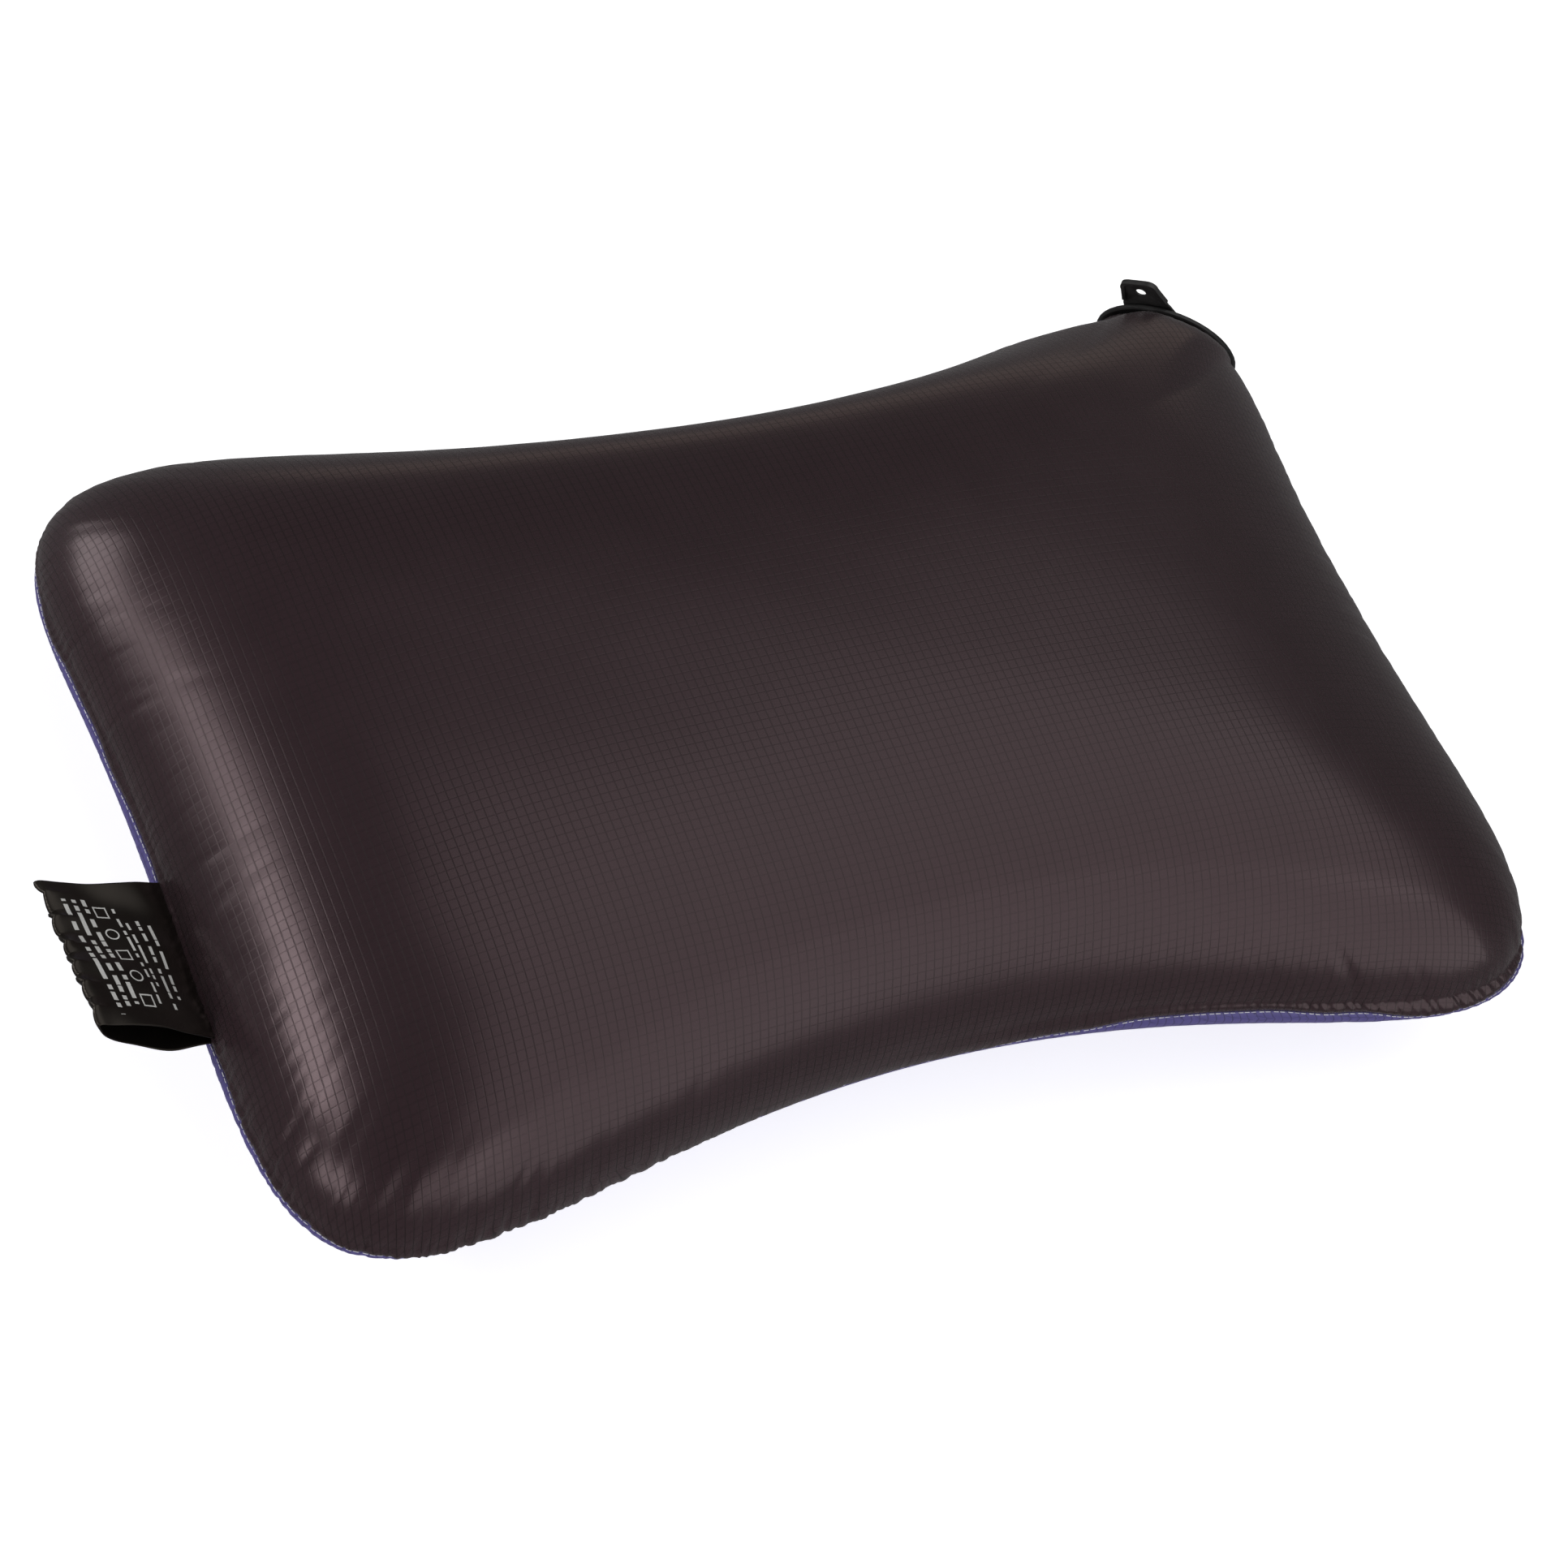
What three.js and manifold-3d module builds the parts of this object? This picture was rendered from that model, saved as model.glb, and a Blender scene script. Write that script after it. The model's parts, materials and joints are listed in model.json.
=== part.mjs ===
// Inflatable camp pillow: a two-panel ripstop cover over a welded air bladder, with a flat
// two-stage valve in one corner and a folded care label in the left seam.
// Millimetres, +Z up. The origin is under the middle of the pillow, on the surface it lies on.
// +X runs along the long way of the pillow, +Y towards its back edge.
import * as THREE from 'three';
import * as BufferGeometryUtils from 'three/addons/utils/BufferGeometryUtils.js';
import Module from 'manifold-3d';

// ---- driving dimensions -------------------------------------------------------------------
// LENGTH and WIDTH are the plain outline's, before its waists are taken in. The shoulders are then
// 252 across.
const LENGTH = 380;
const WIDTH = 280;
const HEIGHT = 98;
const SEAM_HEIGHT = 45.5;
const BACK_WAIST = 42;
const FRONT_WAIST = 36;
const WAIST_SHIFT = 8;
const WAIST_POWER = 1.1;
const END_WAIST = 6;
const INNER_WAIST = 0.15;
const CORNER_POWER = 6.1;
const PUFF_POWER = 3.56;
const PUFF_ROOT = 1.89;
const EDGE_DROP = 6;
const END_DROP = 5;
const CORNER_SEAM_DROP = 4.8;
const FLAT_DEPTH = 2;
const LEFT_ROLL = 3.8;
const FRONT_ROLL = 6;
const FRONT_ROLL_PLACE = -0.8;
const FRONT_ROLL_SPREAD = 0.55;
const ROLL_RISE = 0.35;

const FABRIC = 0.6;
const FILM = 0.4;
const SEAM_GAP = 0.4;
const BLADDER_INSET = 1.6;

const VALVE_CENTRE = new THREE.Vector3(174.5, 112, 47);
const VALVE_HEADING = THREE.MathUtils.degToRad(50);
const VALVE_TILT = THREE.MathUtils.degToRad(18.7);
const VALVE_RADIUS = 22.6;
const BORE_RADIUS = 16.3;
const BARREL_RADIUS = 17.5;
const WELD_RADIUS = 18.4;
const RIM_THICKNESS = 1.8;
const VALVE_DEPTH = 11;
const NECK_RADIUS = 20.9;
const NECK_DEPTH = 2.3;
const NECK_FROM = THREE.MathUtils.degToRad(34.6);
const NECK_TO = THREE.MathUtils.degToRad(48);
const NECK_SPREAD = THREE.MathUtils.degToRad(11);
const FILM_NECK_RADIUS = 19.5;
const FILM_NECK_DEPTH = 11.4;
const PLUG_PLATE_RADIUS = 18.5;
const MOUTH_RADIUS = 9.3;
const LID_RADIUS = 12.5;
const CLEARANCE = 0.3;
const TAB_ANGLE = THREE.MathUtils.degToRad(60);
const PULL_TAB_ANGLE = THREE.MathUtils.degToRad(60);
const PULL_TAB_BEND = THREE.MathUtils.degToRad(3);
const PULL_TAB_ROOT = VALVE_RADIUS - 1;
const PULL_TAB_REACH = 10.8;
const CAP_TAB_ANGLE = THREE.MathUtils.degToRad(330);
const PLATE_BACK = CLEARANCE;
const PLATE_FRONT = 1.6;
const LID_BACK = PLATE_FRONT + CLEARANCE;
const LID_FRONT = 3.1;
const PLUG_HINGE_RADIUS = 20.6;
const PLUG_STRAP_HALF = 2.5;
const CAP_HINGE_RADIUS = 14.2;
const CAP_STRAP_HALF = 2;

const LABEL_WIDTH = 50;
const LABEL_REACH = 34;
const LABEL_MIDDLE = -28;
const LABEL_THICKNESS = 0.5;

const HALF_LENGTH = LENGTH / 2;
const HALF_WIDTH = WIDTH / 2;

const wasm = await Module();
wasm.setup();

// ---- materials ----------------------------------------------------------------------------
function material(color, roughness) {
  return new THREE.MeshStandardMaterial({ color, roughness, metalness: 0 });
}
const charcoalRipstop = material(0x3b3031, 0.45);
const purpleRipstop = material(0x4a4570, 0.45);
const lavenderThread = material(0x8f8ac0, 0.7);
const labelSatin = material(0x0d0c0c, 0.4);
const clearFilm = material(0xb9bcc0, 0.3);
const blackElastic = material(0x141314, 0.85);
const valvePlastic = material(0x111010, 0.4);
const softSilicone = material(0xc9c8c4, 0.5);

// ---- the pillow's outline -------------------------------------------------------------------
// Directions are angles about the middle, on a plan where both half sizes are 1.
function cornerWeight(angle) {
  return Math.pow(Math.abs(Math.sin(2 * angle)), 6);
}

function wrapped(angle) {
  return Math.atan2(Math.sin(angle), Math.cos(angle));
}

// How far each corner reaches past the plain rounded rectangle, as a share of its radius.
function cornerReach(angle) {
  const right = Math.cos(angle) > 0;
  const back = Math.sin(angle) > 0;
  if (right && back) return 0;
  if (back) return 0.014;
  return right ? 0.02 : -0.022;
}

function planPoint(share, angle) {
  const c = Math.cos(angle);
  const s = Math.sin(angle);
  const round = Math.pow(Math.pow(Math.abs(c), CORNER_POWER) + Math.pow(Math.abs(s), CORNER_POWER),
    -1 / CORNER_POWER);
  const radius = share * round * (1 + cornerReach(angle) * cornerWeight(angle));
  const across = radius * c;
  const along = radius * s;
  const waistPlace = THREE.MathUtils.clamp(across - WAIST_SHIFT / HALF_LENGTH, -1, 1);
  const waist = (along > 0 ? BACK_WAIST : FRONT_WAIST)
    * Math.pow(Math.cos(Math.PI * waistPlace / 2), WAIST_POWER);
  const waistShare = INNER_WAIST + (1 - INNER_WAIST) * THREE.MathUtils.smoothstep(share, 0.4, 1);
  const endPlace = THREE.MathUtils.clamp(along, -1, 1);
  const end = END_WAIST * Math.pow(Math.cos(Math.PI * endPlace / 2), 2);
  return new THREE.Vector2(across * (HALF_LENGTH - end), along * (HALF_WIDTH - waist * waistShare));
}

// ---- the valve's place in the back right corner ---------------------------------------------
const valveAxis = new THREE.Vector3(
  Math.cos(VALVE_HEADING) * Math.cos(VALVE_TILT),
  Math.sin(VALVE_HEADING) * Math.cos(VALVE_TILT),
  Math.sin(VALVE_TILT));
const valveSide = new THREE.Vector3(-Math.sin(VALVE_HEADING), Math.cos(VALVE_HEADING), 0);
const valveUp = new THREE.Vector3().crossVectors(valveAxis, valveSide);
const valveFrame = new THREE.Matrix4().makeBasis(valveSide, valveUp, valveAxis).setPosition(VALVE_CENTRE);

function neckPoint(turn, radius, depth) {
  return new THREE.Vector3(radius * Math.cos(turn), radius * Math.sin(turn), -depth)
    .applyMatrix4(valveFrame);
}

// Where a panel ends in a direction: on the seam, or on its half of the round neck at the valve.
// side is 1 for the upper panel and -1 for the lower one.
function edgePoint(angle, side, radius, depth) {
  const direction = wrapped(angle);
  if (direction > NECK_FROM && direction < NECK_TO) {
    const turn = Math.PI * (NECK_TO - direction) / (NECK_TO - NECK_FROM);
    return neckPoint(side * turn, radius, depth);
  }
  const plan = planPoint(1, direction);
  const right = Math.cos(direction) > 0;
  const back = Math.sin(direction) > 0;
  const drop = right && back ? VALVE_CENTRE.z - SEAM_HEIGHT : -CORNER_SEAM_DROP;
  const point = new THREE.Vector3(plan.x, plan.y, SEAM_HEIGHT + drop * cornerWeight(direction));
  const limit = direction >= NECK_TO ? NECK_TO : NECK_FROM;
  const turn = direction >= NECK_TO ? 0 : Math.PI;
  const limitPlan = planPoint(1, limit);
  const limitHeight = SEAM_HEIGHT + (VALVE_CENTRE.z - SEAM_HEIGHT) * cornerWeight(limit);
  const pull = neckPoint(turn, radius, depth)
    .sub(new THREE.Vector3(limitPlan.x, limitPlan.y, limitHeight))
    .multiplyScalar(Math.exp(-Math.pow((direction - limit) / NECK_SPREAD, 2)));
  return point.add(pull);
}

// How far the lower panel swells out past the seam in a direction.
function rollOut(angle) {
  const direction = wrapped(angle);
  const left = LEFT_ROLL * Math.pow(Math.max(0, -Math.cos(direction)), 2);
  const front = FRONT_ROLL * Math.exp(-Math.pow((direction - FRONT_ROLL_PLACE) / FRONT_ROLL_SPREAD, 2));
  return left + front;
}

// A panel's outer surface. share runs from 0 at the middle to 1 at the edge.
function panelPoint(share, angle, side, radius, depth) {
  const plan = planPoint(share, angle);
  const edge = edgePoint(angle, side, radius, depth);
  const plainEdge = planPoint(1, angle);
  const toEdge = Math.pow(share, 10);
  plan.x += toEdge * (edge.x - plainEdge.x);
  plan.y += toEdge * (edge.y - plainEdge.y);
  const rise = Math.pow(1 - Math.pow(Math.min(share, 1), PUFF_POWER), 1 / PUFF_ROOT);
  const seam = SEAM_HEIGHT + Math.pow(share, 4) * (edge.z - SEAM_HEIGHT);
  const widthShare = plan.y / HALF_WIDTH;
  const lengthShare = plan.x / HALF_LENGTH;
  const crown = HEIGHT - EDGE_DROP * widthShare * widthShare - END_DROP * lengthShare * lengthShare;
  const far = side > 0 ? crown : -FLAT_DEPTH;
  let height = seam + (far - seam) * rise + side * SEAM_GAP / 2 * toEdge;
  if (side < 0) {
    const outward = rollOut(angle) * Math.sin(Math.PI * Math.min(rise / ROLL_RISE, 1));
    plan.addScaledVector(plainEdge.clone().normalize(), outward);
    height = Math.max(height, 0);
  }
  return new THREE.Vector3(plan.x, plan.y, height);
}

// ---- meshes -----------------------------------------------------------------------------------
function geometryFrom(points, triangles) {
  const geometry = new THREE.BufferGeometry();
  const positions = points.flatMap((point) => [point.x, point.y, point.z]);
  geometry.setAttribute('position', new THREE.Float32BufferAttribute(positions, 3));
  geometry.setIndex(triangles);
  geometry.computeVertexNormals();
  return geometry;
}

const GATHER = 0.13;
const NECK_MARGIN = THREE.MathUtils.degToRad(8);

// Moves evenly spread directions towards the corners, where the outline bends most.
function gathered(angle) {
  return angle + GATHER * Math.sin(4 * angle);
}

// The evenly spread direction that gathered() moves to this one, found by repeated guesses.
function spread(angle) {
  let guess = angle;
  for (let i = 0; i < 30; i += 1) {
    guess = angle - GATHER * Math.sin(4 * guess);
  }
  return guess;
}

// Directions of the panels' columns: gathered at the corners, and closest over the valve's neck.
function columnAngles(count, neckCount) {
  const from = NECK_FROM - NECK_MARGIN;
  const to = NECK_TO + NECK_MARGIN;
  const start = spread(to);
  const end = spread(from) + 2 * Math.PI;
  const angles = [];
  for (let i = 0; i < count; i += 1) {
    angles.push(gathered(start + (end - start) * i / count));
  }
  const steps = [from, NECK_FROM, NECK_TO, to];
  const shares = [2, neckCount, 2];
  shares.forEach((parts, k) => {
    for (let i = 0; i < parts; i += 1) {
      angles.push(steps[k] + (steps[k + 1] - steps[k]) * i / parts);
    }
  });
  return angles;
}

function inNeck(angle) {
  const direction = wrapped(angle);
  return direction > NECK_FROM + 1e-6 && direction < NECK_TO - 1e-6;
}

// A closed thin shell: the outer skin, the same skin moved in by the thickness, and the edge face
// that joins them. The edge is flat, square to the seam or to the valve's axis.
function shell(side, inset, thickness, angles, rings, radius, depth) {
  const surface = (share, angle) => panelPoint(share, angle, side, radius, depth);
  const inward = (share, angle) => {
    const probe = Math.min(share, 0.997);
    const step = 0.002;
    const around = surface(probe, angle + step).sub(surface(probe, angle - step));
    const out = surface(probe + step, angle).sub(surface(probe - step, angle));
    const normal = out.cross(around).multiplyScalar(side);
    if (probe < share) {
      const edgeAxis = inNeck(angle) ? valveAxis : new THREE.Vector3(0, 0, 1);
      normal.addScaledVector(edgeAxis, -normal.dot(edgeAxis));
    }
    return normal.normalize().negate();
  };
  const place = (share, angle, offset) => surface(share, angle)
    .addScaledVector(inward(share, angle), offset);
  const middle = (offset) => {
    const point = surface(0, 0);
    point.z -= side * offset;
    return point;
  };
  const skins = [inset, inset + thickness];
  const points = [];
  for (const offset of skins) {
    points.push(middle(offset));
    for (let ring = 1; ring <= rings; ring += 1) {
      const share = Math.sin(Math.PI / 2 * ring / rings);
      for (const angle of angles) {
        const atNeck = ring === rings && inNeck(angle);
        points.push(place(share, angle, atNeck ? offset - inset : offset));
      }
    }
  }
  const count = angles.length;
  const skinSize = 1 + rings * count;
  const triangles = [];
  const add = (a, b, c, flip) => triangles.push(...(flip ? [a, c, b] : [a, b, c]));
  for (let skin = 0; skin < 2; skin += 1) {
    const start = skin * skinSize;
    const flip = (side > 0) === (skin === 1);
    for (let column = 0; column < count; column += 1) {
      const next = (column + 1) % count;
      add(start, start + 1 + column, start + 1 + next, flip);
      for (let ring = 1; ring < rings; ring += 1) {
        const a = start + 1 + (ring - 1) * count;
        const b = a + count;
        add(a + column, b + column, b + next, flip);
        add(a + column, b + next, a + next, flip);
      }
    }
  }
  const edge = 1 + (rings - 1) * count;
  for (let column = 0; column < count; column += 1) {
    const next = (column + 1) % count;
    const outerA = edge + column;
    const outerB = edge + next;
    add(outerA, skinSize + outerA, skinSize + outerB, side < 0);
    add(outerA, skinSize + outerB, outerB, side < 0);
  }
  return geometryFrom(points, triangles);
}

function toSolid(geometry) {
  const plain = geometry.clone();
  plain.deleteAttribute('normal');
  plain.deleteAttribute('uv');
  const merged = BufferGeometryUtils.mergeVertices(plain, 1e-4);
  return new wasm.Manifold(new wasm.Mesh({
    numProp: 3,
    vertProperties: new Float32Array(merged.attributes.position.array),
    triVerts: new Uint32Array(merged.index.array),
  }));
}

function fromSolid(solid) {
  const mesh = solid.getMesh();
  const geometry = new THREE.BufferGeometry();
  geometry.setAttribute('position', new THREE.BufferAttribute(new Float32Array(mesh.vertProperties), 3));
  geometry.setIndex(new THREE.BufferAttribute(new Uint32Array(mesh.triVerts), 1));
  geometry.computeVertexNormals();
  return geometry;
}

function joined(first, ...others) {
  return fromSolid(others.reduce((sum, part) => sum.add(toSolid(part)), toSolid(first)));
}

function cut(first, ...others) {
  return fromSolid(others.reduce((rest, part) => rest.subtract(toSolid(part)), toSolid(first)));
}

// A ring or disc about the valve's axis. The profile is (radius, height) pairs that go round the
// section anticlockwise and close on themselves, or start and end on the axis.
function turned(profile, segments = 36) {
  const points = profile.map(([radius, height]) => new THREE.Vector2(radius, height));
  const onAxis = profile[0][0] === 0;
  if (!onAxis) points.push(points[0].clone());
  return new THREE.LatheGeometry(points, segments).rotateX(Math.PI / 2);
}

function cylinder(radius, from, to, segments = 24) {
  return new THREE.CylinderGeometry(radius, radius, to - from, segments)
    .rotateX(Math.PI / 2).translate(0, 0, (from + to) / 2);
}

function block(x, y, z) {
  return new THREE.BoxGeometry(x[1] - x[0], y[1] - y[0], z[1] - z[0])
    .translate((x[0] + x[1]) / 2, (y[0] + y[1]) / 2, (z[0] + z[1]) / 2);
}

// ---- cover ---------------------------------------------------------------------------------------
const panelAngles = columnAngles(40, 10);
const PANEL_RINGS = 8;

function cover(side) {
  return shell(side, 0, FABRIC, panelAngles, PANEL_RINGS, NECK_RADIUS, NECK_DEPTH);
}

// Directions from one side of the valve's neck round to the other, without the neck itself.
function seamAngles() {
  const fromNeck = (angle) => (wrapped(angle) - NECK_TO + 2 * Math.PI + 1e-6) % (2 * Math.PI);
  return panelAngles.filter((angle) => !inNeck(angle))
    .sort((a, b) => fromNeck(a) - fromNeck(b))
    .slice(1, -1);
}

// The line of stitching lies against the upper panel, just above the seam.
function seamThread() {
  const kept = seamAngles();
  const sides = 6;
  const threadRadius = 0.4;
  const points = [];
  for (const angle of kept) {
    const edge = edgePoint(angle, 1, NECK_RADIUS, NECK_DEPTH);
    const ahead = edgePoint(angle + 0.01, 1, NECK_RADIUS, NECK_DEPTH);
    const behind = edgePoint(angle - 0.01, 1, NECK_RADIUS, NECK_DEPTH);
    const outward = new THREE.Vector3(ahead.y - behind.y, behind.x - ahead.x, 0).normalize();
    const centre = edge.clone().addScaledVector(outward, 1);
    centre.z += 1;
    for (let i = 0; i < sides; i += 1) {
      const turn = 2 * Math.PI * i / sides;
      const point = centre.clone().addScaledVector(outward, threadRadius * Math.cos(turn));
      point.z += threadRadius * Math.sin(turn);
      points.push(point);
    }
  }
  const triangles = [];
  const last = (kept.length - 1) * sides;
  for (let i = 0; i < sides; i += 1) {
    const next = (i + 1) % sides;
    for (let step = 0; step < kept.length - 1; step += 1) {
      const a = step * sides;
      triangles.push(a + i, a + sides + next, a + next, a + i, a + sides + i, a + sides + next);
    }
    if (i > 0 && i < sides - 1) {
      triangles.push(0, i, i + 1, last, last + i + 1, last + i);
    }
  }
  return geometryFrom(points, triangles);
}

// The hemmed elastic that draws the cover's opening in behind the valve's rim.
function coverCollar() {
  const back = -5;
  const front = -RIM_THICKNESS - CLEARANCE;
  const inner = BARREL_RADIUS + CLEARANCE;
  const outer = NECK_RADIUS - FABRIC - CLEARANCE;
  return turned([[inner, back + 0.6], [inner + 0.6, back], [outer - 0.6, back], [outer, back + 0.6],
    [outer, front], [inner, front]]);
}

// ---- care label: a ribbon folded into a loop, both ends at the seam --------------------------------
function careLabel() {
  const root = new THREE.Vector2(-HALF_LENGTH + 2.8, SEAM_HEIGHT + 0.2);
  const upper = [[0, 0.35], [0.3, 4.5], [0.66, 10], [0.96, 14.6]];
  const lower = [[1.02, 13.8], [0.9, 9], [0.64, 3], [0.4, -0.4], [0.22, -1.4], [0, -0.35]];
  const toPlan = ([reach, rise]) => new THREE.Vector2(root.x - reach * LABEL_REACH, root.y + rise);
  const middleLine = new THREE.SplineCurve([...upper, ...lower].map(toPlan));
  const steps = 28;
  const outerSide = [];
  const innerSide = [];
  for (let i = 0; i <= steps; i += 1) {
    const point = middleLine.getPoint(i / steps);
    const tangent = middleLine.getTangent(i / steps);
    const normal = new THREE.Vector2(-tangent.y, tangent.x);
    outerSide.push(point.clone().addScaledVector(normal, LABEL_THICKNESS / 2));
    innerSide.unshift(point.clone().addScaledVector(normal, -LABEL_THICKNESS / 2));
  }
  const outline = new THREE.Shape([...outerSide, ...innerSide]);
  const ribbon = new THREE.ExtrudeGeometry(outline, { depth: LABEL_WIDTH, bevelEnabled: false });
  return ribbon.rotateX(Math.PI / 2).translate(0, LABEL_MIDDLE + LABEL_WIDTH / 2, 0);
}

// ---- bladder ---------------------------------------------------------------------------------------
function bladder(side) {
  return shell(side, BLADDER_INSET, FILM, panelAngles, PANEL_RINGS, FILM_NECK_RADIUS, FILM_NECK_DEPTH);
}

// ---- valve, about its own axis, with the front of the rim at height 0 --------------------------------
// Two lugs that hold the end of a strap between them, on the hinge line.
function strapLugs(angle, radius, halfGap, from, to) {
  return [-1, 1].map((side) => {
    const near = side * halfGap;
    const far = side * (halfGap + 1.4);
    return block([radius - 0.8, radius + 0.8], [Math.min(near, far), Math.max(near, far)], [from, to])
      .rotateZ(angle);
  });
}

function valveBase() {
  const ring = turned([[BORE_RADIUS, -VALVE_DEPTH], [WELD_RADIUS, -VALVE_DEPTH],
    [WELD_RADIUS, 1 - VALVE_DEPTH], [BARREL_RADIUS, 1 - VALVE_DEPTH], [BARREL_RADIUS, -RIM_THICKNESS],
    [VALVE_RADIUS - 0.5, -RIM_THICKNESS], [VALVE_RADIUS, 0.5 - RIM_THICKNESS], [VALVE_RADIUS, -0.5],
    [VALVE_RADIUS - 0.5, 0], [BORE_RADIUS, 0]], 44);
  const lugs = strapLugs(TAB_ANGLE + Math.PI, PLUG_HINGE_RADIUS, PLUG_STRAP_HALF + CLEARANCE, -1, 1.9);
  return joined(ring, ...lugs);
}

// A finger tab that widens towards the disc it grows from, with rounded tip corners.
function tabOutline(from, to, rootWidth, tipWidth, corner) {
  const shape = new THREE.Shape();
  shape.moveTo(from, -rootWidth / 2);
  shape.lineTo(to - corner, -tipWidth / 2);
  shape.quadraticCurveTo(to, -tipWidth / 2, to, -tipWidth / 2 + corner);
  shape.lineTo(to, tipWidth / 2 - corner);
  shape.quadraticCurveTo(to, tipWidth / 2, to - corner, tipWidth / 2);
  shape.lineTo(from, rootWidth / 2);
  return shape;
}

function slab(shape, from, to) {
  return new THREE.ExtrudeGeometry(shape, { depth: to - from, bevelEnabled: false, curveSegments: 6 })
    .translate(0, 0, from);
}

// The tab that pulls the plug out, bent a little forwards past the rim: a thin web with a raised bead
// round its edge and a cord hole.
function pullTab() {
  const root = slab(tabOutline(PLUG_PLATE_RADIUS - 3, PULL_TAB_ROOT + 0.2, 18, 15.8, 0.5), 0.6, 1.2);
  const web = slab(tabOutline(-0.6, PULL_TAB_REACH, 15.6, 12.2, 3.4), -0.3, 0.3);
  const bead = slab(tabOutline(1.6, PULL_TAB_REACH, 15, 12.2, 3.4), -0.8, 0.8);
  const beadGap = slab(tabOutline(0, PULL_TAB_REACH - 1.1, 13.3, 9.9, 2.4), -2, 2);
  const hole = cylinder(1.65, -2, 2, 20).translate(5.9, 0, 0);
  const bent = cut(joined(web, cut(bead, beadGap)), hole)
    .rotateY(-PULL_TAB_BEND).translate(PULL_TAB_ROOT, 0, 0.9);
  return joined(root, bent).rotateZ(PULL_TAB_ANGLE);
}

function deflationPlug() {
  const body = turned([[MOUTH_RADIUS, PLATE_BACK], [14.4, PLATE_BACK - 0.7], [14, -4], [13.4, -6.8],
    [1.5, -6.8], [1.5, -8], [14.9, -8], [15.6, -4], [15.9, PLATE_BACK],
    [PLUG_PLATE_RADIUS, PLATE_BACK], [PLUG_PLATE_RADIUS, PLATE_FRONT], [MOUTH_RADIUS, PLATE_FRONT]], 40);
  const windows = [0, 1, 2, 3].map((quarter) => {
    const shape = new THREE.Shape();
    const half = THREE.MathUtils.degToRad(33);
    shape.absarc(0, 0, 11, -half, half, false);
    shape.absarc(0, 0, 4.2, half, -half, true);
    return slab(shape, -9, -6).rotateZ(quarter * Math.PI / 2);
  });
  const strap = block([-PLUG_HINGE_RADIUS - 0.5, -PLUG_PLATE_RADIUS + 2],
    [-PLUG_STRAP_HALF, PLUG_STRAP_HALF], [0.4, PLATE_FRONT]).rotateZ(TAB_ANGLE);
  const capHinge = CAP_TAB_ANGLE + Math.PI;
  const lugs = strapLugs(capHinge, CAP_HINGE_RADIUS, CAP_STRAP_HALF + CLEARANCE, 1, LID_FRONT);
  return joined(cut(body, ...windows), pullTab(), strap, ...lugs);
}

function inflationCap() {
  const lid = turned([[0, 0.9], [7.4, 0.9], [7.2, -2.5], [8.6, -2.5], [9, LID_BACK], [LID_RADIUS, LID_BACK],
    [LID_RADIUS, LID_FRONT - 0.4], [LID_RADIUS - 0.4, LID_FRONT], [0, LID_FRONT]], 32);
  const tab = slab(tabOutline(LID_RADIUS - 3, 18.2, 9.6, 7, 1.8), LID_BACK + 0.1, LID_FRONT - 0.3)
    .rotateZ(CAP_TAB_ANGLE);
  const strap = block([-CAP_HINGE_RADIUS - 0.3, -LID_RADIUS + 2],
    [-CAP_STRAP_HALF, CAP_STRAP_HALF], [LID_BACK + 0.1, LID_FRONT - 0.3]).rotateZ(CAP_TAB_ANGLE);
  return joined(lid, tab, strap);
}

function checkFlap() {
  const disc = -8 - CLEARANCE;
  return turned([[0, disc - 0.8], [12.4, disc - 0.5], [12.4, disc], [1.1, disc], [1.1, -4.6], [2, -4.4],
    [1.2, -3.2], [0, -3]], 28);
}

// ---- the object ----------------------------------------------------------------------------------------
const pillow = new THREE.Group();

function addPart(parent, name, geometry, finish) {
  const mesh = new THREE.Mesh(geometry, finish);
  mesh.name = name;
  parent.add(mesh);
}

addPart(pillow, 'cover_top', cover(1), charcoalRipstop);
addPart(pillow, 'cover_bottom', cover(-1), purpleRipstop);
addPart(pillow, 'seam_thread', seamThread(), lavenderThread);
addPart(pillow, 'care_label', careLabel(), labelSatin);
addPart(pillow, 'bladder_top', bladder(1), clearFilm);
addPart(pillow, 'bladder_bottom', bladder(-1), clearFilm);

const valve = new THREE.Group();
valve.applyMatrix4(valveFrame);
addPart(valve, 'cover_collar', coverCollar(), blackElastic);
addPart(valve, 'valve_base', valveBase(), valvePlastic);
addPart(valve, 'deflation_plug', deflationPlug(), valvePlastic);
addPart(valve, 'inflation_cap', inflationCap(), valvePlastic);
addPart(valve, 'check_flap', checkFlap(), softSilicone);
pillow.add(valve);

export default pillow;
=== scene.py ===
import json
import math

import bmesh
import bpy
import numpy as np
from mathutils import Matrix, Vector
from mathutils.bvhtree import BVHTree


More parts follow.
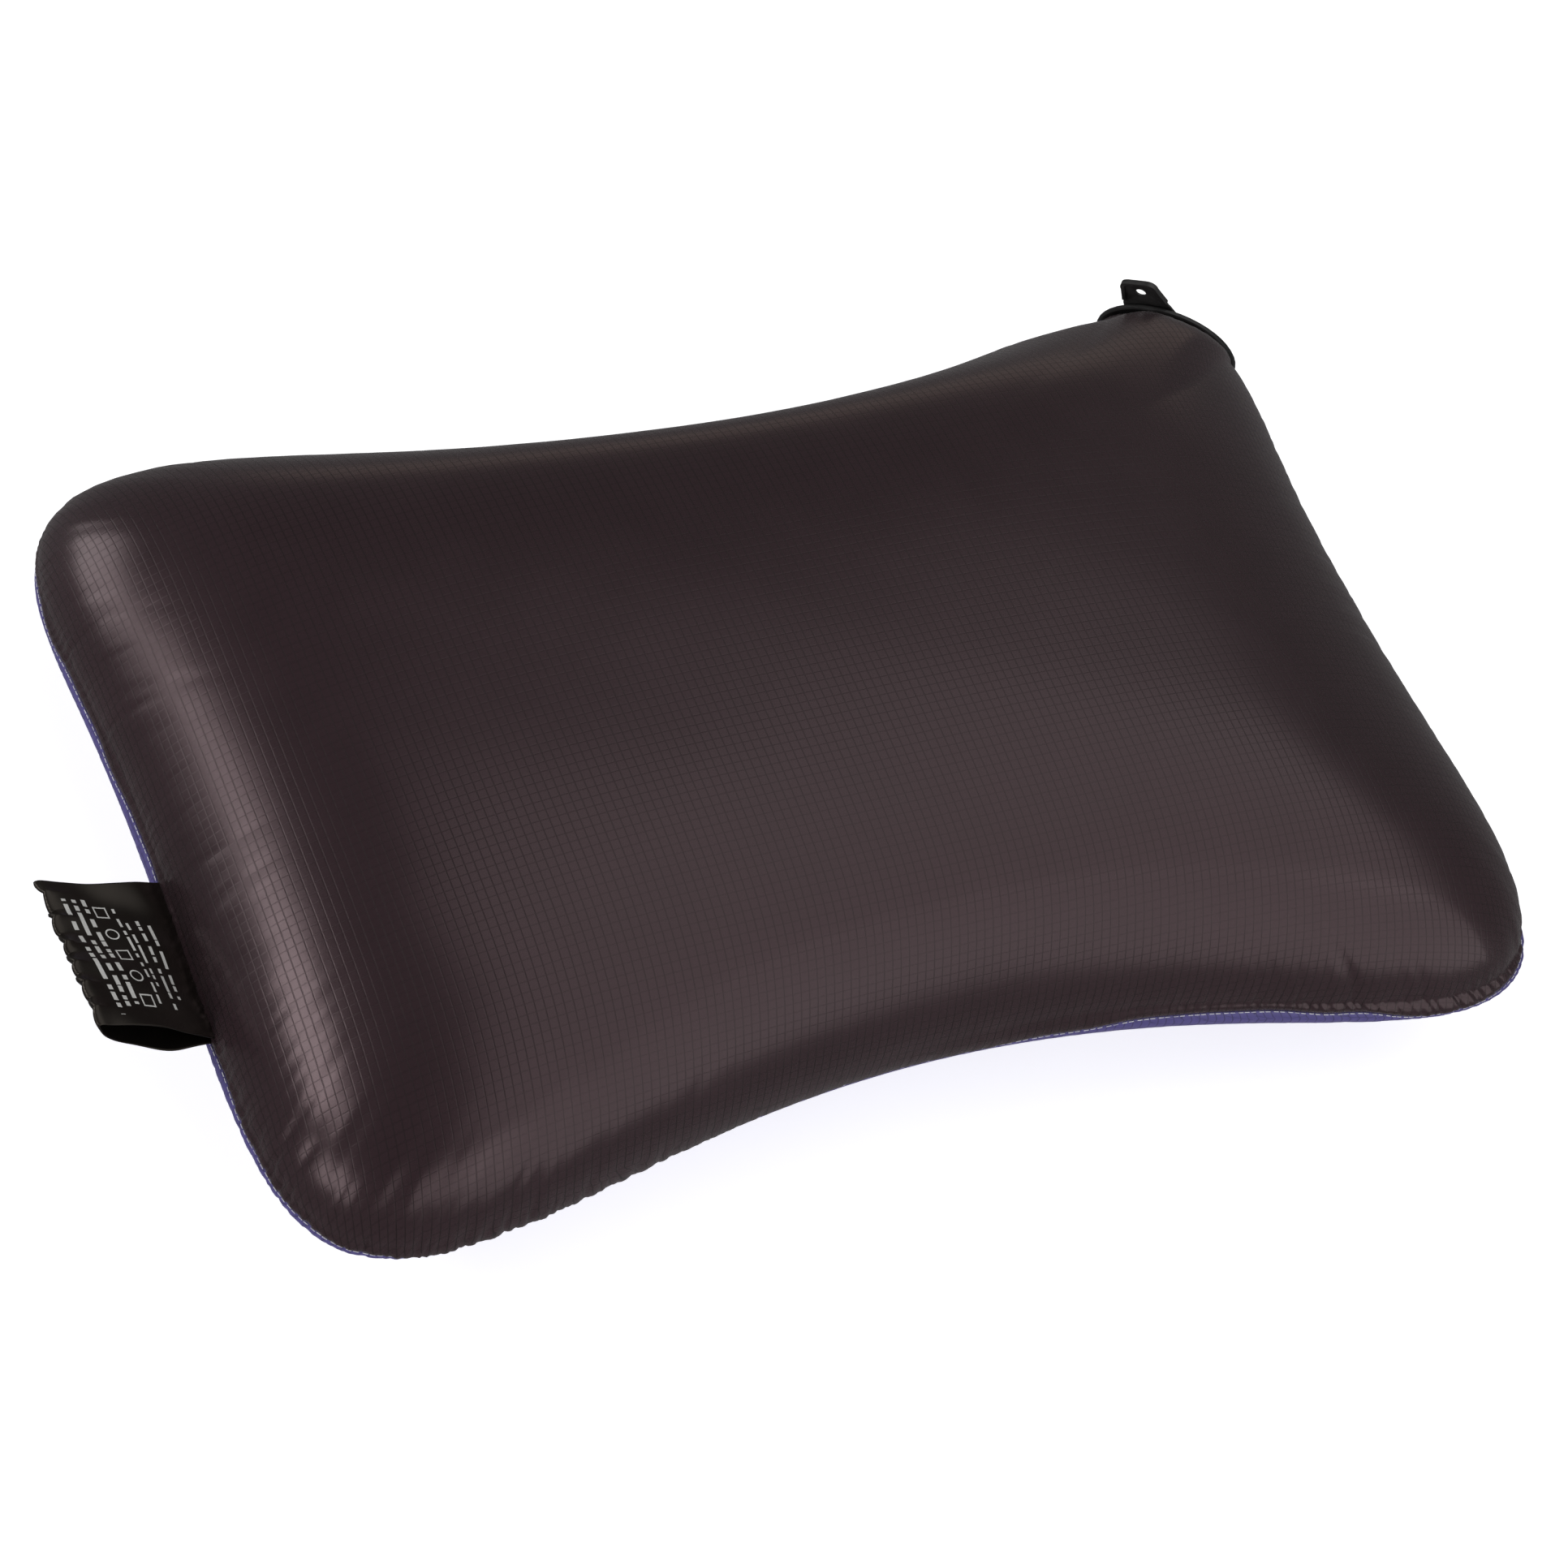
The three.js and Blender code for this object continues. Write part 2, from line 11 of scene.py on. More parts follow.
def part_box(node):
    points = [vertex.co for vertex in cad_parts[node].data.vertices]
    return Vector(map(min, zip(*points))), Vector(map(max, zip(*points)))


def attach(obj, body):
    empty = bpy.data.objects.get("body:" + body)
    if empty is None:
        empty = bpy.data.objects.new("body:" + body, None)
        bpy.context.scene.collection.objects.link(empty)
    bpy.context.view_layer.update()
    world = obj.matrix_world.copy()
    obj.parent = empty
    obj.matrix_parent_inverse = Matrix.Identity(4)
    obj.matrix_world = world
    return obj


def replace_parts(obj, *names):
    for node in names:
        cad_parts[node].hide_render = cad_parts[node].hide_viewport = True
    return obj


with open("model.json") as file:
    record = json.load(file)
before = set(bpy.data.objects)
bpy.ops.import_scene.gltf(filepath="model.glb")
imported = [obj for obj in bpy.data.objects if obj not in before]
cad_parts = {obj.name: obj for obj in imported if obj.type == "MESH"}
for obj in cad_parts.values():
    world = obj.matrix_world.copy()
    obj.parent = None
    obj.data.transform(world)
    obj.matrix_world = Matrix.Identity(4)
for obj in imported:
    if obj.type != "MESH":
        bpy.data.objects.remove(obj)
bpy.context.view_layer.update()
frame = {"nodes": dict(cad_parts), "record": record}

RECORD = frame["record"]
TAU = 2 * math.pi
MM = 0.001

# ---- the pillow's shape, as in the CAD except for NECK_DEPTH ---------
CORNER_POWER = 6.1
PUFF_POWER = 3.56
PUFF_ROOT = 1.89
CORNER_SHARPNESS = 6
FRONT_RIGHT_REACH = 0.02
BACK_LEFT_REACH = 0.014
FRONT_LEFT_REACH = -0.022
HALF_LENGTH = 190 * MM
HALF_WIDTH = 140 * MM
BACK_WAIST = 42 * MM
FRONT_WAIST = 36 * MM
WAIST_SHIFT = 8 * MM
WAIST_POWER = 1.1
INNER_WAIST = 0.15
WAIST_GROWS_FROM = 0.4
END_WAIST = 6 * MM
SEAM_HEIGHT = 45.5 * MM
EDGE_DROP = 6 * MM
END_DROP = 5 * MM
CORNER_SEAM_DROP = 4.8 * MM
FLAT_DEPTH = 2 * MM
LEFT_ROLL = 3.8 * MM
FRONT_ROLL = 6 * MM
FRONT_ROLL_PLACE = -0.8
FRONT_ROLL_SPREAD = 0.55
ROLL_RISE = 0.35
EDGE_PULL_POWER = 10
SEAM_PULL_POWER = 4
NECK_RADIUS = 20.9 * MM
NECK_DEPTH = 2.1 * MM
NECK_FROM = math.radians(34.6)
NECK_TO = math.radians(48)
NECK_SPREAD = math.radians(11)
VALVE_DEPTH = 11 * MM
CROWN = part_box("cover_top")[1].z

VALVE_AXIS = Vector(next(m for m in RECORD["mounts"] if m["name"] == "valve_face")["axis"]).normalized()
VALVE_SIDE = Vector((0, 0, 1)).cross(VALVE_AXIS).normalized()
VALVE_UP = VALVE_AXIS.cross(VALVE_SIDE)


def mesh_points(obj):
    points = np.empty(len(obj.data.vertices) * 3, np.float32)
    obj.data.vertices.foreach_get("co", points)
    return points.reshape(-1, 3).astype(float)


def placed(origin, side, up, axis):
    """The matrix of a frame at a place, with these three unit vectors as its axes."""
    rows = [[a, b, c, 0] for a, b, c in zip(side, up, axis)]
    return Matrix.Translation(origin) @ Matrix(rows + [[0, 0, 0, 1]])


def valve_centre():
    """The middle of the front of the valve's rim, from the base's own extent along and across its axis."""
    points = mesh_points(frame["nodes"]["valve_base"])
    across = [points @ np.array(way) for way in (VALVE_SIDE, VALVE_UP)]
    middle = [(a.min() + a.max()) / 2 for a in across]
    back = (points @ np.array(VALVE_AXIS)).min() + VALVE_DEPTH
    return VALVE_SIDE * middle[0] + VALVE_UP * middle[1] + VALVE_AXIS * back


VALVE_CENTRE = valve_centre()
VALVE_FRAME = placed(VALVE_CENTRE, VALVE_SIDE, VALVE_UP, VALVE_AXIS)


def smooth_step(value, low, high):
    t = np.clip((value - low) / (high - low), 0, 1)
    return t * t * (3 - 2 * t)


def corner_weight(angle):
    """1 at the four corners of the outline, falling quickly to 0 on either side."""
    return np.abs(np.sin(2 * angle)) ** CORNER_SHARPNESS


def wrapped(angle):
    """The same direction, between minus half a turn and half a turn."""
    return np.arctan2(np.sin(angle), np.cos(angle))


def plan_point(share, angle):
    """A place in the hourglass outline seen from above. share runs from 0 at the middle to 1 at the edge."""
    c, s = np.cos(angle), np.sin(angle)
    right_reach = np.where(s > 0, 0, FRONT_RIGHT_REACH)
    left_reach = np.where(s > 0, BACK_LEFT_REACH, FRONT_LEFT_REACH)
    reach = np.where(c > 0, right_reach, left_reach)
    radius = (np.abs(c) ** CORNER_POWER + np.abs(s) ** CORNER_POWER) ** (-1 / CORNER_POWER)
    radius = share * radius * (1 + reach * corner_weight(angle))
    across, along = radius * c, radius * s
    waist_place = np.clip(across - WAIST_SHIFT / HALF_LENGTH, -1, 1)
    waist = np.where(along > 0, BACK_WAIST, FRONT_WAIST)
    waist = waist * np.cos(math.pi * waist_place / 2).clip(0) ** WAIST_POWER
    waist = waist * (INNER_WAIST + (1 - INNER_WAIST) * smooth_step(share, WAIST_GROWS_FROM, 1))
    end = END_WAIST * np.cos(math.pi * np.clip(along, -1, 1) / 2) ** 2
    return across * (HALF_LENGTH - end), along * (HALF_WIDTH - waist)


def neck_point(turn, radius, depth):
    """A place on a circle round the valve's axis, behind the front of its rim."""
    side, up, axis = (np.array(v) for v in (VALVE_SIDE, VALVE_UP, VALVE_AXIS))
    turn = np.asarray(turn)[..., None]
    return np.array(VALVE_CENTRE) + radius * (np.cos(turn) * side + np.sin(turn) * up) - depth * axis


def edge_point(angle, side, radius=NECK_RADIUS, depth=NECK_DEPTH):
    """Where a panel ends in each direction: on the seam, or on its half of the round neck at the valve."""
    direction = wrapped(angle)
    x, y = plan_point(1.0, direction)
    valve_lift = VALVE_CENTRE.z - SEAM_HEIGHT
    valve_corner = (np.cos(direction) > 0) & (np.sin(direction) > 0)
    drop = np.where(valve_corner, valve_lift, -CORNER_SEAM_DROP)
    plain = np.stack([x, y, SEAM_HEIGHT + drop * corner_weight(direction)], -1)
    after = direction >= NECK_TO
    limit = np.where(after, NECK_TO, NECK_FROM)
    limit_x, limit_y = plan_point(1.0, limit)
    limit_point = np.stack([limit_x, limit_y, SEAM_HEIGHT + valve_lift * corner_weight(limit)], -1)
    pull = neck_point(np.where(after, 0.0, math.pi), radius, depth) - limit_point
    pull *= np.exp(-((direction - limit) / NECK_SPREAD) ** 2)[..., None]
    turn = math.pi * (NECK_TO - direction) / (NECK_TO - NECK_FROM)
    inside = (direction > NECK_FROM) & (direction < NECK_TO)
    return np.where(inside[..., None], neck_point(side * turn, radius, depth), plain + pull)


def roll_out(angle):
    """How far the lower panel bulges out under the seam, at the left and at the front right."""
    direction = wrapped(angle)
    left = LEFT_ROLL * np.maximum(0, -np.cos(direction)) ** 2
    return left + FRONT_ROLL * np.exp(-((direction - FRONT_ROLL_PLACE) / FRONT_ROLL_SPREAD) ** 2)


def panel_point(share, angle, side, radius=NECK_RADIUS, depth=NECK_DEPTH):
    """A panel's smooth outer surface. share runs from 0 at the middle to 1 at the edge."""
    x, y = plan_point(share, angle)
    edge = edge_point(angle, side, radius, depth)
    edge_x, edge_y = plan_point(1.0, angle)
    to_edge = share ** EDGE_PULL_POWER
    x = x + to_edge * (edge[..., 0] - edge_x)
    y = y + to_edge * (edge[..., 1] - edge_y)
    rise = (1 - np.minimum(share, 1) ** PUFF_POWER).clip(0) ** (1 / PUFF_ROOT)
    seam = SEAM_HEIGHT + share ** SEAM_PULL_POWER * (edge[..., 2] - SEAM_HEIGHT)
    crown = CROWN - EDGE_DROP * (y / HALF_WIDTH) ** 2 - END_DROP * (x / HALF_LENGTH) ** 2
    far = crown if side > 0 else np.full_like(x, -FLAT_DEPTH)
    z = seam + (far - seam) * rise
    if side < 0:
        out = roll_out(angle) * np.sin(math.pi * np.minimum(rise / ROLL_RISE, 1))
        out = out / np.hypot(edge_x, edge_y)
        x, y = x + edge_x * out, y + edge_y * out
    return np.stack([x, y, z], -1)


# ---- mesh helpers ----------------------------------------------------
def new_object(name, vertices, faces):
    """A smooth-shaded mesh object."""
    mesh = bpy.data.meshes.new(name)
    mesh.from_pydata([tuple(v) for v in vertices], [], faces)
    mesh.update()
    for polygon in mesh.polygons:
        polygon.use_smooth = True
    obj = bpy.data.objects.new(name, mesh)
    bpy.context.scene.collection.objects.link(obj)
    return obj


def apply_modifiers(obj):
    bpy.context.view_layer.objects.active = obj
    for modifier in list(obj.modifiers):
        with bpy.context.temp_override(object=obj, active_object=obj, selected_objects=[obj]):
            bpy.ops.object.modifier_apply(modifier=modifier.name)


def thickened(piece, thickness, offset=-1):
    modifier = piece.modifiers.new("thickness", "SOLIDIFY")
    modifier.thickness = thickness
    modifier.offset = offset
    apply_modifiers(piece)
    return piece


def add_vector_attribute(obj, name, values):
    attribute = obj.data.attributes.new(name, "FLOAT_VECTOR", "POINT")
    attribute.data.foreach_set("vector", np.asarray(values, np.float32).ravel())


def periodic_noise(places, period, waves, generator):
    """Smooth noise of about unit size along a closed line, with the given number of waves round it."""
    total = np.zeros_like(places)
    for k in waves:
        total += generator.normal() * np.cos(TAU * k * places / period + generator.uniform(0, TAU))
    return total / math.sqrt(len(waves) / 2)


# ---- the cover's panels ----------------------------------------------
# Every panel is a set of nested rings. NEAR_SEAM gives the first rings' distances from the seam. LEVELS gives
# the columns of the rings after them, their number, and the share of the way to the middle where they end.
# PROFILE gives the shares at which a column's curve is worked out, closest together at the edge.
COLUMNS = 2000
PROFILE = 1 - (1 - np.linspace(0, 1, 400)) ** 3
FINE_DIRECTIONS = 40001
NEAR_SEAM = np.array([0, 0.35, 0.8, 1.4, 2.1, 2.9, 3.8, 4.9, 6.1, 7.4, 8.9]) * MM
LEVELS = ((1000, 10, 0.16), (500, 10, 0.5), (250, 12, 1.0))
FABRIC = 0.25 * MM
SEAM_LOW = 3.8 * MM
FRONT_TUCK = 8.4 * MM
FRONT_TUCK_PLACE = math.radians(-103)
FRONT_TUCK_SPREAD = math.radians(27)
CORNER_TUCK = 4.2 * MM
CORNER_TUCK_PLACE = math.radians(-51)
CORNER_TUCK_SPREAD = math.radians(6)
SEAM_GROOVE = 0.6 * MM
SEAM_GROOVE_WIDTH = 1.1 * MM
SEAM_WANDER = 0.35 * MM
SEAM_WANDER_WAVES = range(8, 60)


def in_neck(angle):
    return (angle > NECK_FROM) & (angle < NECK_TO)


def seam_columns():
    """Directions and places of the columns, evenly spaced along the seam and the neck, and its length."""
    fine = np.linspace(-math.pi, math.pi, FINE_DIRECTIONS)
    edge = edge_point(fine, 1)
    length = np.concatenate([[0], np.cumsum(np.linalg.norm(np.diff(edge, axis=0), axis=1))])
    places = np.linspace(0, length[-1], COLUMNS, endpoint=False)
    return np.interp(places, length, fine), places, length[-1]


ANGLES, PLACES, SEAM_LENGTH = seam_columns()


def away_from_neck(angle):
    """0 on the valve's neck, rising smoothly to 1 on either side of it."""
    nearest = np.clip(angle, NECK_FROM, NECK_TO)
    return 1 - np.exp(-((angle - nearest) / NECK_SPREAD) ** 2)


def seam_shift():
    """How far the seam lies below the widest line, along the fabric. It is tucked under at the front."""
    tuck = FRONT_TUCK * np.exp(-((ANGLES - FRONT_TUCK_PLACE) / FRONT_TUCK_SPREAD) ** 4)
    tuck += CORNER_TUCK * np.exp(-((ANGLES - CORNER_TUCK_PLACE) / CORNER_TUCK_SPREAD) ** 2)
    wander = periodic_noise(PLACES, SEAM_LENGTH, SEAM_WANDER_WAVES, np.random.default_rng(5))
    return (SEAM_LOW + tuck + SEAM_WANDER * wander) * away_from_neck(ANGLES)


def panel_rings(side, profile, length, widest, shift):
    """The panel's smooth surface: its rings, each point's distance from the seam, and each ring's columns.

    On the neck each panel begins at its own half of the circle, so that neither crosses the valve's bore.
    """
    neck_edge = length[len(PROFILE)] if side > 0 else widest
    seam = np.where(in_neck(ANGLES), neck_edge, widest - shift)
    total = length[-1] - seam if side > 0 else seam
    rings = [np.full(COLUMNS, distance) for distance in NEAR_SEAM]
    columns = [COLUMNS] * len(NEAR_SEAM)
    begin = np.full(COLUMNS, NEAR_SEAM[-1])
    for count, steps, reach in LEVELS:
        end = NEAR_SEAM[-1] + (total - NEAR_SEAM[-1]) * reach
        for step in range(1, steps + 1):
            rings.append(begin + (end - begin) * step / steps)
            columns.append(count)
        begin = end
    rings.pop()
    columns.pop()
    distance = np.stack(rings)
    grid = np.empty(distance.shape + (3,))
    for i in range(COLUMNS):
        for axis in range(3):
            grid[:, i, axis] = np.interp(seam[i] + side * distance[:, i], length[:, i], profile[:, i, axis])
    return grid, distance, columns


GATHERS_PLAIN = 0.8
GATHERS_CORNER = 0.5
GATHERS_CORNER_POWER = 0.6
GATHERS_WAIST = 0.5
GATHERS_FRONT_LEFT = 0.15
FRONT_LEFT_PLACE = -2.45
FRONT_LEFT_SPREAD = 0.45
BACK_LEFT_PLACE = 2.62
BACK_LEFT_SPREAD = 0.42


def gather_strength(angle, back_gain):
    """Gathers are strongest round the corners and weakest where the long sides curve in."""
    corner = corner_weight(angle) ** GATHERS_CORNER_POWER
    waist = np.abs(np.sin(angle)) ** 3 * (1 - corner_weight(angle))
    front_left = np.exp(-((angle - FRONT_LEFT_PLACE) / FRONT_LEFT_SPREAD) ** 2)
    back_left = np.exp(-((angle - BACK_LEFT_PLACE) / BACK_LEFT_SPREAD) ** 2)
    strength = GATHERS_PLAIN + GATHERS_CORNER * corner - GATHERS_WAIST * waist
    return strength + GATHERS_FRONT_LEFT * front_left + back_gain * back_left


CREASE_JITTER = 0.4
CREASE_LEAN = 0.13
CREASE_LENGTH_SPREAD = 0.42
CREASE_SMALLEST = 0.35
CREASE_LARGEST = 1.3
CREASE_WIDENING = 25 * MM
CREASE_SHOULDER = 0.28


def crease_depth(distance, count, width, depth, reach, back_gain, seed):
    """Depth of a row of creases that start at the seam and run in across the panel, each its own length.

    The half window is the number of columns on either side of a crease where it can still be seen.
    """
    generator = np.random.default_rng(seed)
    pitch = SEAM_LENGTH / count
    strength = gather_strength(ANGLES, back_gain)
    total = np.zeros(distance.shape)
    half_window = int(4.5 * width / (SEAM_LENGTH / COLUMNS)) + 12
    for i in range(count):
        place = (i + generator.uniform(-CREASE_JITTER, CREASE_JITTER)) * pitch
        lean = generator.normal(0, CREASE_LEAN)
        length = reach * generator.lognormal(0, CREASE_LENGTH_SPREAD)
        size = depth * generator.uniform(CREASE_SMALLEST, CREASE_LARGEST)
        centre = int(round(place / SEAM_LENGTH * COLUMNS))
        near = np.arange(centre - half_window, centre + half_window + 1)
        offset = near * SEAM_LENGTH / COLUMNS - place
        near %= COLUMNS
        away = distance[:, near]
        across = (offset[None, :] - lean * np.minimum(away, length)) / (width * (1 + away / CREASE_WIDENING))
        fade = np.exp(-(away / length) ** 2)
        total[:, near] += size * strength[near] * fade * (np.exp(-across ** 2) - CREASE_SHOULDER)
    return total


# Four kinds of crease: how many go round the seam, each one's width, depth and reach, and how much
# their strength changes round the back left corner, which is nearly smooth.
CREASES = (
    (430, 0.5 * MM, 0.34 * MM, 10 * MM, -0.2),
    (160, 1.2 * MM, 0.28 * MM, 15 * MM, -0.9),
    (50, 4.2 * MM, 0.15 * MM, 20 * MM, -1.1),
    (340, 0.9 * MM, 0.17 * MM, 22 * MM, -0.7),
)
CREASE_SEED = 40
LOWER_REACH = 0.6
LOWER_DEPTH = 0.4
NECK_CREASES = 0.25
SEAM_HOLD = 2.2 * MM
SEAM_SHARE = 0.2
# Round the valve the fabric is drawn back onto a cone. On its full side, towards the back edge, the fabric is
# drawn back further and lies in two folds, each given as radius, width and depth.
NECK_CONE = 0.42
NECK_SOFTNESS = 1.2 * MM
RIM_OUTSIDE = 23.2 * MM
FULL_SIDE_FROM = 0.3
FULL_SIDE_TO = 0.85
FULL_SIDE_TUCK = 3.2 * MM
FULL_SIDE_CONE = 0.5
NECK_FOLDS = ((25.2 * MM, 1.0 * MM, 0.9 * MM), (29.5 * MM, 1.3 * MM, 0.7 * MM))
NECK_REACH = 26 * MM
FULL_SIDE_REACH = 22 * MM
BROAD_WAVES = 14
BROAD_DEPTH = 0.08 * MM
BROAD_SHORTEST = 50
BROAD_LONGEST = 130
BROAD_TYPICAL = 80 * MM


def all_creases(distance, side):
    """The creases' whole depth. Both panels share them, as they share a seam, but below they fade sooner."""
    total = np.zeros_like(distance)
    for layer, (count, width, depth, reach, back_gain) in enumerate(CREASES):
        reach = reach if side > 0 else reach * LOWER_REACH
        total += crease_depth(distance, count, width, depth, reach, back_gain, CREASE_SEED + layer)
    full = 1 if side > 0 else LOWER_DEPTH
    held = SEAM_SHARE + (full - SEAM_SHARE) * smooth_step(distance, 0, SEAM_HOLD)
    return total * held * (NECK_CREASES + (1 - NECK_CREASES) * away_from_neck(ANGLES))


def broad_waves(grid, side):
    """Slow, shallow unevenness of the stretched fabric, fading out at the seam's height."""
    generator = np.random.default_rng(31 + side)
    total = np.zeros(grid.shape[:2])
    for _ in range(BROAD_WAVES):
        length = generator.uniform(BROAD_SHORTEST, BROAD_LONGEST) * MM
        turn = generator.uniform(0, math.pi)
        place = (grid[..., 0] * math.cos(turn) + grid[..., 1] * math.sin(turn)) / length
        size = generator.normal() * length / BROAD_TYPICAL
        total += size * np.cos(TAU * place + generator.uniform(0, TAU))
    height = np.abs(grid[..., 2] - SEAM_HEIGHT) / (CROWN - SEAM_HEIGHT)
    return total * BROAD_DEPTH * smooth_step(height, 0.25, 0.8) / math.sqrt(BROAD_WAVES / 2)


def behind_the_rim(grid):
    """Draws the fabric near the valve back behind its rim, onto a blunt cone round the valve's neck."""
    axis = np.array(VALVE_AXIS)
    offset = grid - np.array(VALVE_CENTRE)
    depth = -offset @ axis
    radius = np.linalg.norm(offset + depth[..., None] * axis, axis=-1)
    aside = (offset @ np.array(VALVE_SIDE)) / (radius + 1e-9)
    full = smooth_step(aside, FULL_SIDE_FROM, FULL_SIDE_TO)
    beyond = (radius - RIM_OUTSIDE).clip(0)
    tuck = FULL_SIDE_TUCK * smooth_step(radius, NECK_RADIUS, RIM_OUTSIDE) + FULL_SIDE_CONE * beyond
    wanted = NECK_DEPTH + NECK_CONE * (radius - NECK_RADIUS).clip(0) + full * tuck
    reach = NECK_REACH + FULL_SIDE_REACH * full
    near = 1 - np.clip((radius - NECK_RADIUS) / reach, 0, 1) ** 2
    short = wanted - depth
    push = (short + np.sqrt(short ** 2 + NECK_SOFTNESS ** 2)) / 2 * near
    for fold_radius, width, fold_depth in NECK_FOLDS:
        push += full * fold_depth * np.exp(-((radius - fold_radius) / width) ** 2)
    push = np.where(radius < NECK_RADIUS + reach, push, 0)
    return grid - push[..., None] * axis


def surface_normals(grid, side):
    """Outward normals of a closed set of rings."""
    along = np.roll(grid, -1, axis=1) - np.roll(grid, 1, axis=1)
    inward = np.gradient(grid, axis=0)
    normal = np.cross(along, inward) * side
    return normal / (np.linalg.norm(normal, axis=2, keepdims=True) + 1e-12)


STEEPEST_SLOPE = 40


def fabric_places(grid, normal, side):
    """Each point's place on the flat fabric, measured outward from the middle along its column."""
    inner_first = grid[::-1]
    steep = np.abs(normal[..., 2]) + 1e-4
    facing = np.where(normal[..., 2] * side >= 0, 1.0, -1.0)[::-1]
    steps = np.diff(inner_first, axis=0)
    full = np.linalg.norm(steps, axis=2)
    places = []
    for axis in (0, 1):
        slope = np.minimum(np.abs(normal[..., axis]) / steep, STEEPEST_SLOPE)[::-1]
        factor = np.sqrt(1 + ((slope[1:] + slope[:-1]) / 2) ** 2) * facing[1:]
        step = np.clip(steps[..., axis] * factor, -full, full)
        begin = inner_first[0, :, axis]
        places.append(begin + np.concatenate([np.zeros((1, COLUMNS)), np.cumsum(step, axis=0)]))
    return np.stack(places + [np.zeros_like(places[0])], -1)[::-1]


def disc_faces(columns, side):
    """Faces between nested rings, from the edge inwards, closed by a fan round one last point."""
    faces = []
    outer = 0
    for many, few in zip(columns, columns[1:]):
        inner = outer + many
        ratio = many // few
        for i in range(few):
            rim = [outer + (i * ratio + k) % many for k in range(ratio + 1)]
            faces.append(rim + [inner + (i + 1) % few, inner + i])
        outer = inner
    few = columns[-1]
    faces += [[outer + i, outer + (i + 1) % few, outer + few] for i in range(few)]
    return faces if side > 0 else [face[::-1] for face in faces]


def panel(name, side, smooth):
    """One panel as a mesh whose rings have fewer columns towards its middle, with its fabric places."""
    grid, distance, columns = panel_rings(side, *smooth)
    grid = behind_the_rim(grid)
    normal = surface_normals(grid, side)
    cloth = fabric_places(grid, normal, side)
    groove = SEAM_GROOVE * np.exp(-distance / SEAM_GROOVE_WIDTH) * away_from_neck(ANGLES)
    waves = broad_waves(grid, side) if side > 0 else 0
    grid = grid - normal * (all_creases(distance, side) + groove + waves)[..., None]
    grid[..., 2] = grid[..., 2].clip(0)
    points, places = [], []
    for count, row, cloth_row in zip(columns, grid, cloth):
        points.extend(row[::COLUMNS // count])
        places.extend(cloth_row[::COLUMNS // count])
    points.append(grid[-1].mean(axis=0))
    places.append(cloth[-1].mean(axis=0))
    piece = new_object(name, points, disc_faces(columns, side))
    add_vector_attribute(piece, "fabric", places)
    return thickened(piece, FABRIC), grid


def smooth_cover():
    """Each column's curve over both panels, the lengths along it, its widest place and the seam's shift."""
    lower = panel_point(PROFILE[:, None], ANGLES[None, :], -1)
    upper = panel_point(PROFILE[:, None], ANGLES[None, :], 1)
    profile = np.concatenate([lower, upper[::-1]])
    steps = np.linalg.norm(np.diff(profile, axis=0), axis=2)
    length = np.concatenate([np.zeros((1, COLUMNS)), np.cumsum(steps, axis=0)])
    return profile, length, length[len(PROFILE) - 1], seam_shift()


SMOOTH_COVER = smooth_cover()
cover_top, top_grid = panel("cover_upper_panel", 1, SMOOTH_COVER)
cover_bottom, bottom_grid = panel("cover_lower_panel", -1, SMOOTH_COVER)

# ---- the stitching ---------------------------------------------------
STITCH_PITCH = 2.1 * MM
STITCH_LENGTH = 1.5 * MM
STITCH_RADIUS = 0.14 * MM
STITCH_RISE = 0.1 * MM
STITCH_SIDES = 8
STITCHES_STOP = 0.15


def capsule_rings(length, radius):
    """Distance along the axis and radius of each ring of a round-ended rod."""
    ends = np.linspace(0, math.pi / 2, 4)[1:]
    left = [(-length / 2 + radius - radius * math.cos(a), radius * math.sin(a)) for a in ends]
    return left + [(-x, r) for x, r in left[::-1]]


def stitching():
    """Short straight stitches along the lower side of the seam, each sunk a little into the fabric."""
    row = bottom_grid[1]
    count = int(SEAM_LENGTH / STITCH_PITCH)
    rings = capsule_rings(STITCH_LENGTH, STITCH_RADIUS)
    turns = [TAU * k / STITCH_SIDES for k in range(STITCH_SIDES)]
    points, faces = [], []
    for i in range(count):
        column = int((i + 0.5) * COLUMNS / count)
        if in_neck(ANGLES[column]) or away_from_neck(ANGLES[column]) < STITCHES_STOP:
            continue
        centre = Vector(row[column])
        along = (Vector(row[(column + 2) % COLUMNS]) - Vector(row[column - 2])).normalized()
        inward = (Vector(bottom_grid[3][column]) - centre).normalized()
        outward = -along.cross(inward).normalized()
        start = len(points)
        centre = centre + outward * STITCH_RISE
        points.append(centre - along * (STITCH_LENGTH / 2))
        for x, radius in rings:
            middle = centre + along * x
            points += [middle + (inward * math.cos(t) + outward * math.sin(t)) * radius for t in turns]
        points.append(centre + along * (STITCH_LENGTH / 2))
        for k in range(STITCH_SIDES):
            j = (k + 1) % STITCH_SIDES
            faces.append([start, start + 1 + j, start + 1 + k])
            for r in range(len(rings) - 1):
                low = start + 1 + r * STITCH_SIDES
                high = low + STITCH_SIDES
                faces.append([low + k, low + j, high + j, high + k])
            last = start + 1 + (len(rings) - 1) * STITCH_SIDES
            faces.append([last + k, last + j, len(points) - 1])
    piece = new_object("seam_stitching", points, faces)
    bm = bmesh.new()
    bm.from_mesh(piece.data)
    bmesh.ops.recalc_face_normals(bm, faces=bm.faces)
    bm.to_mesh(piece.data)
    bm.free()
    return piece


stitches = stitching()

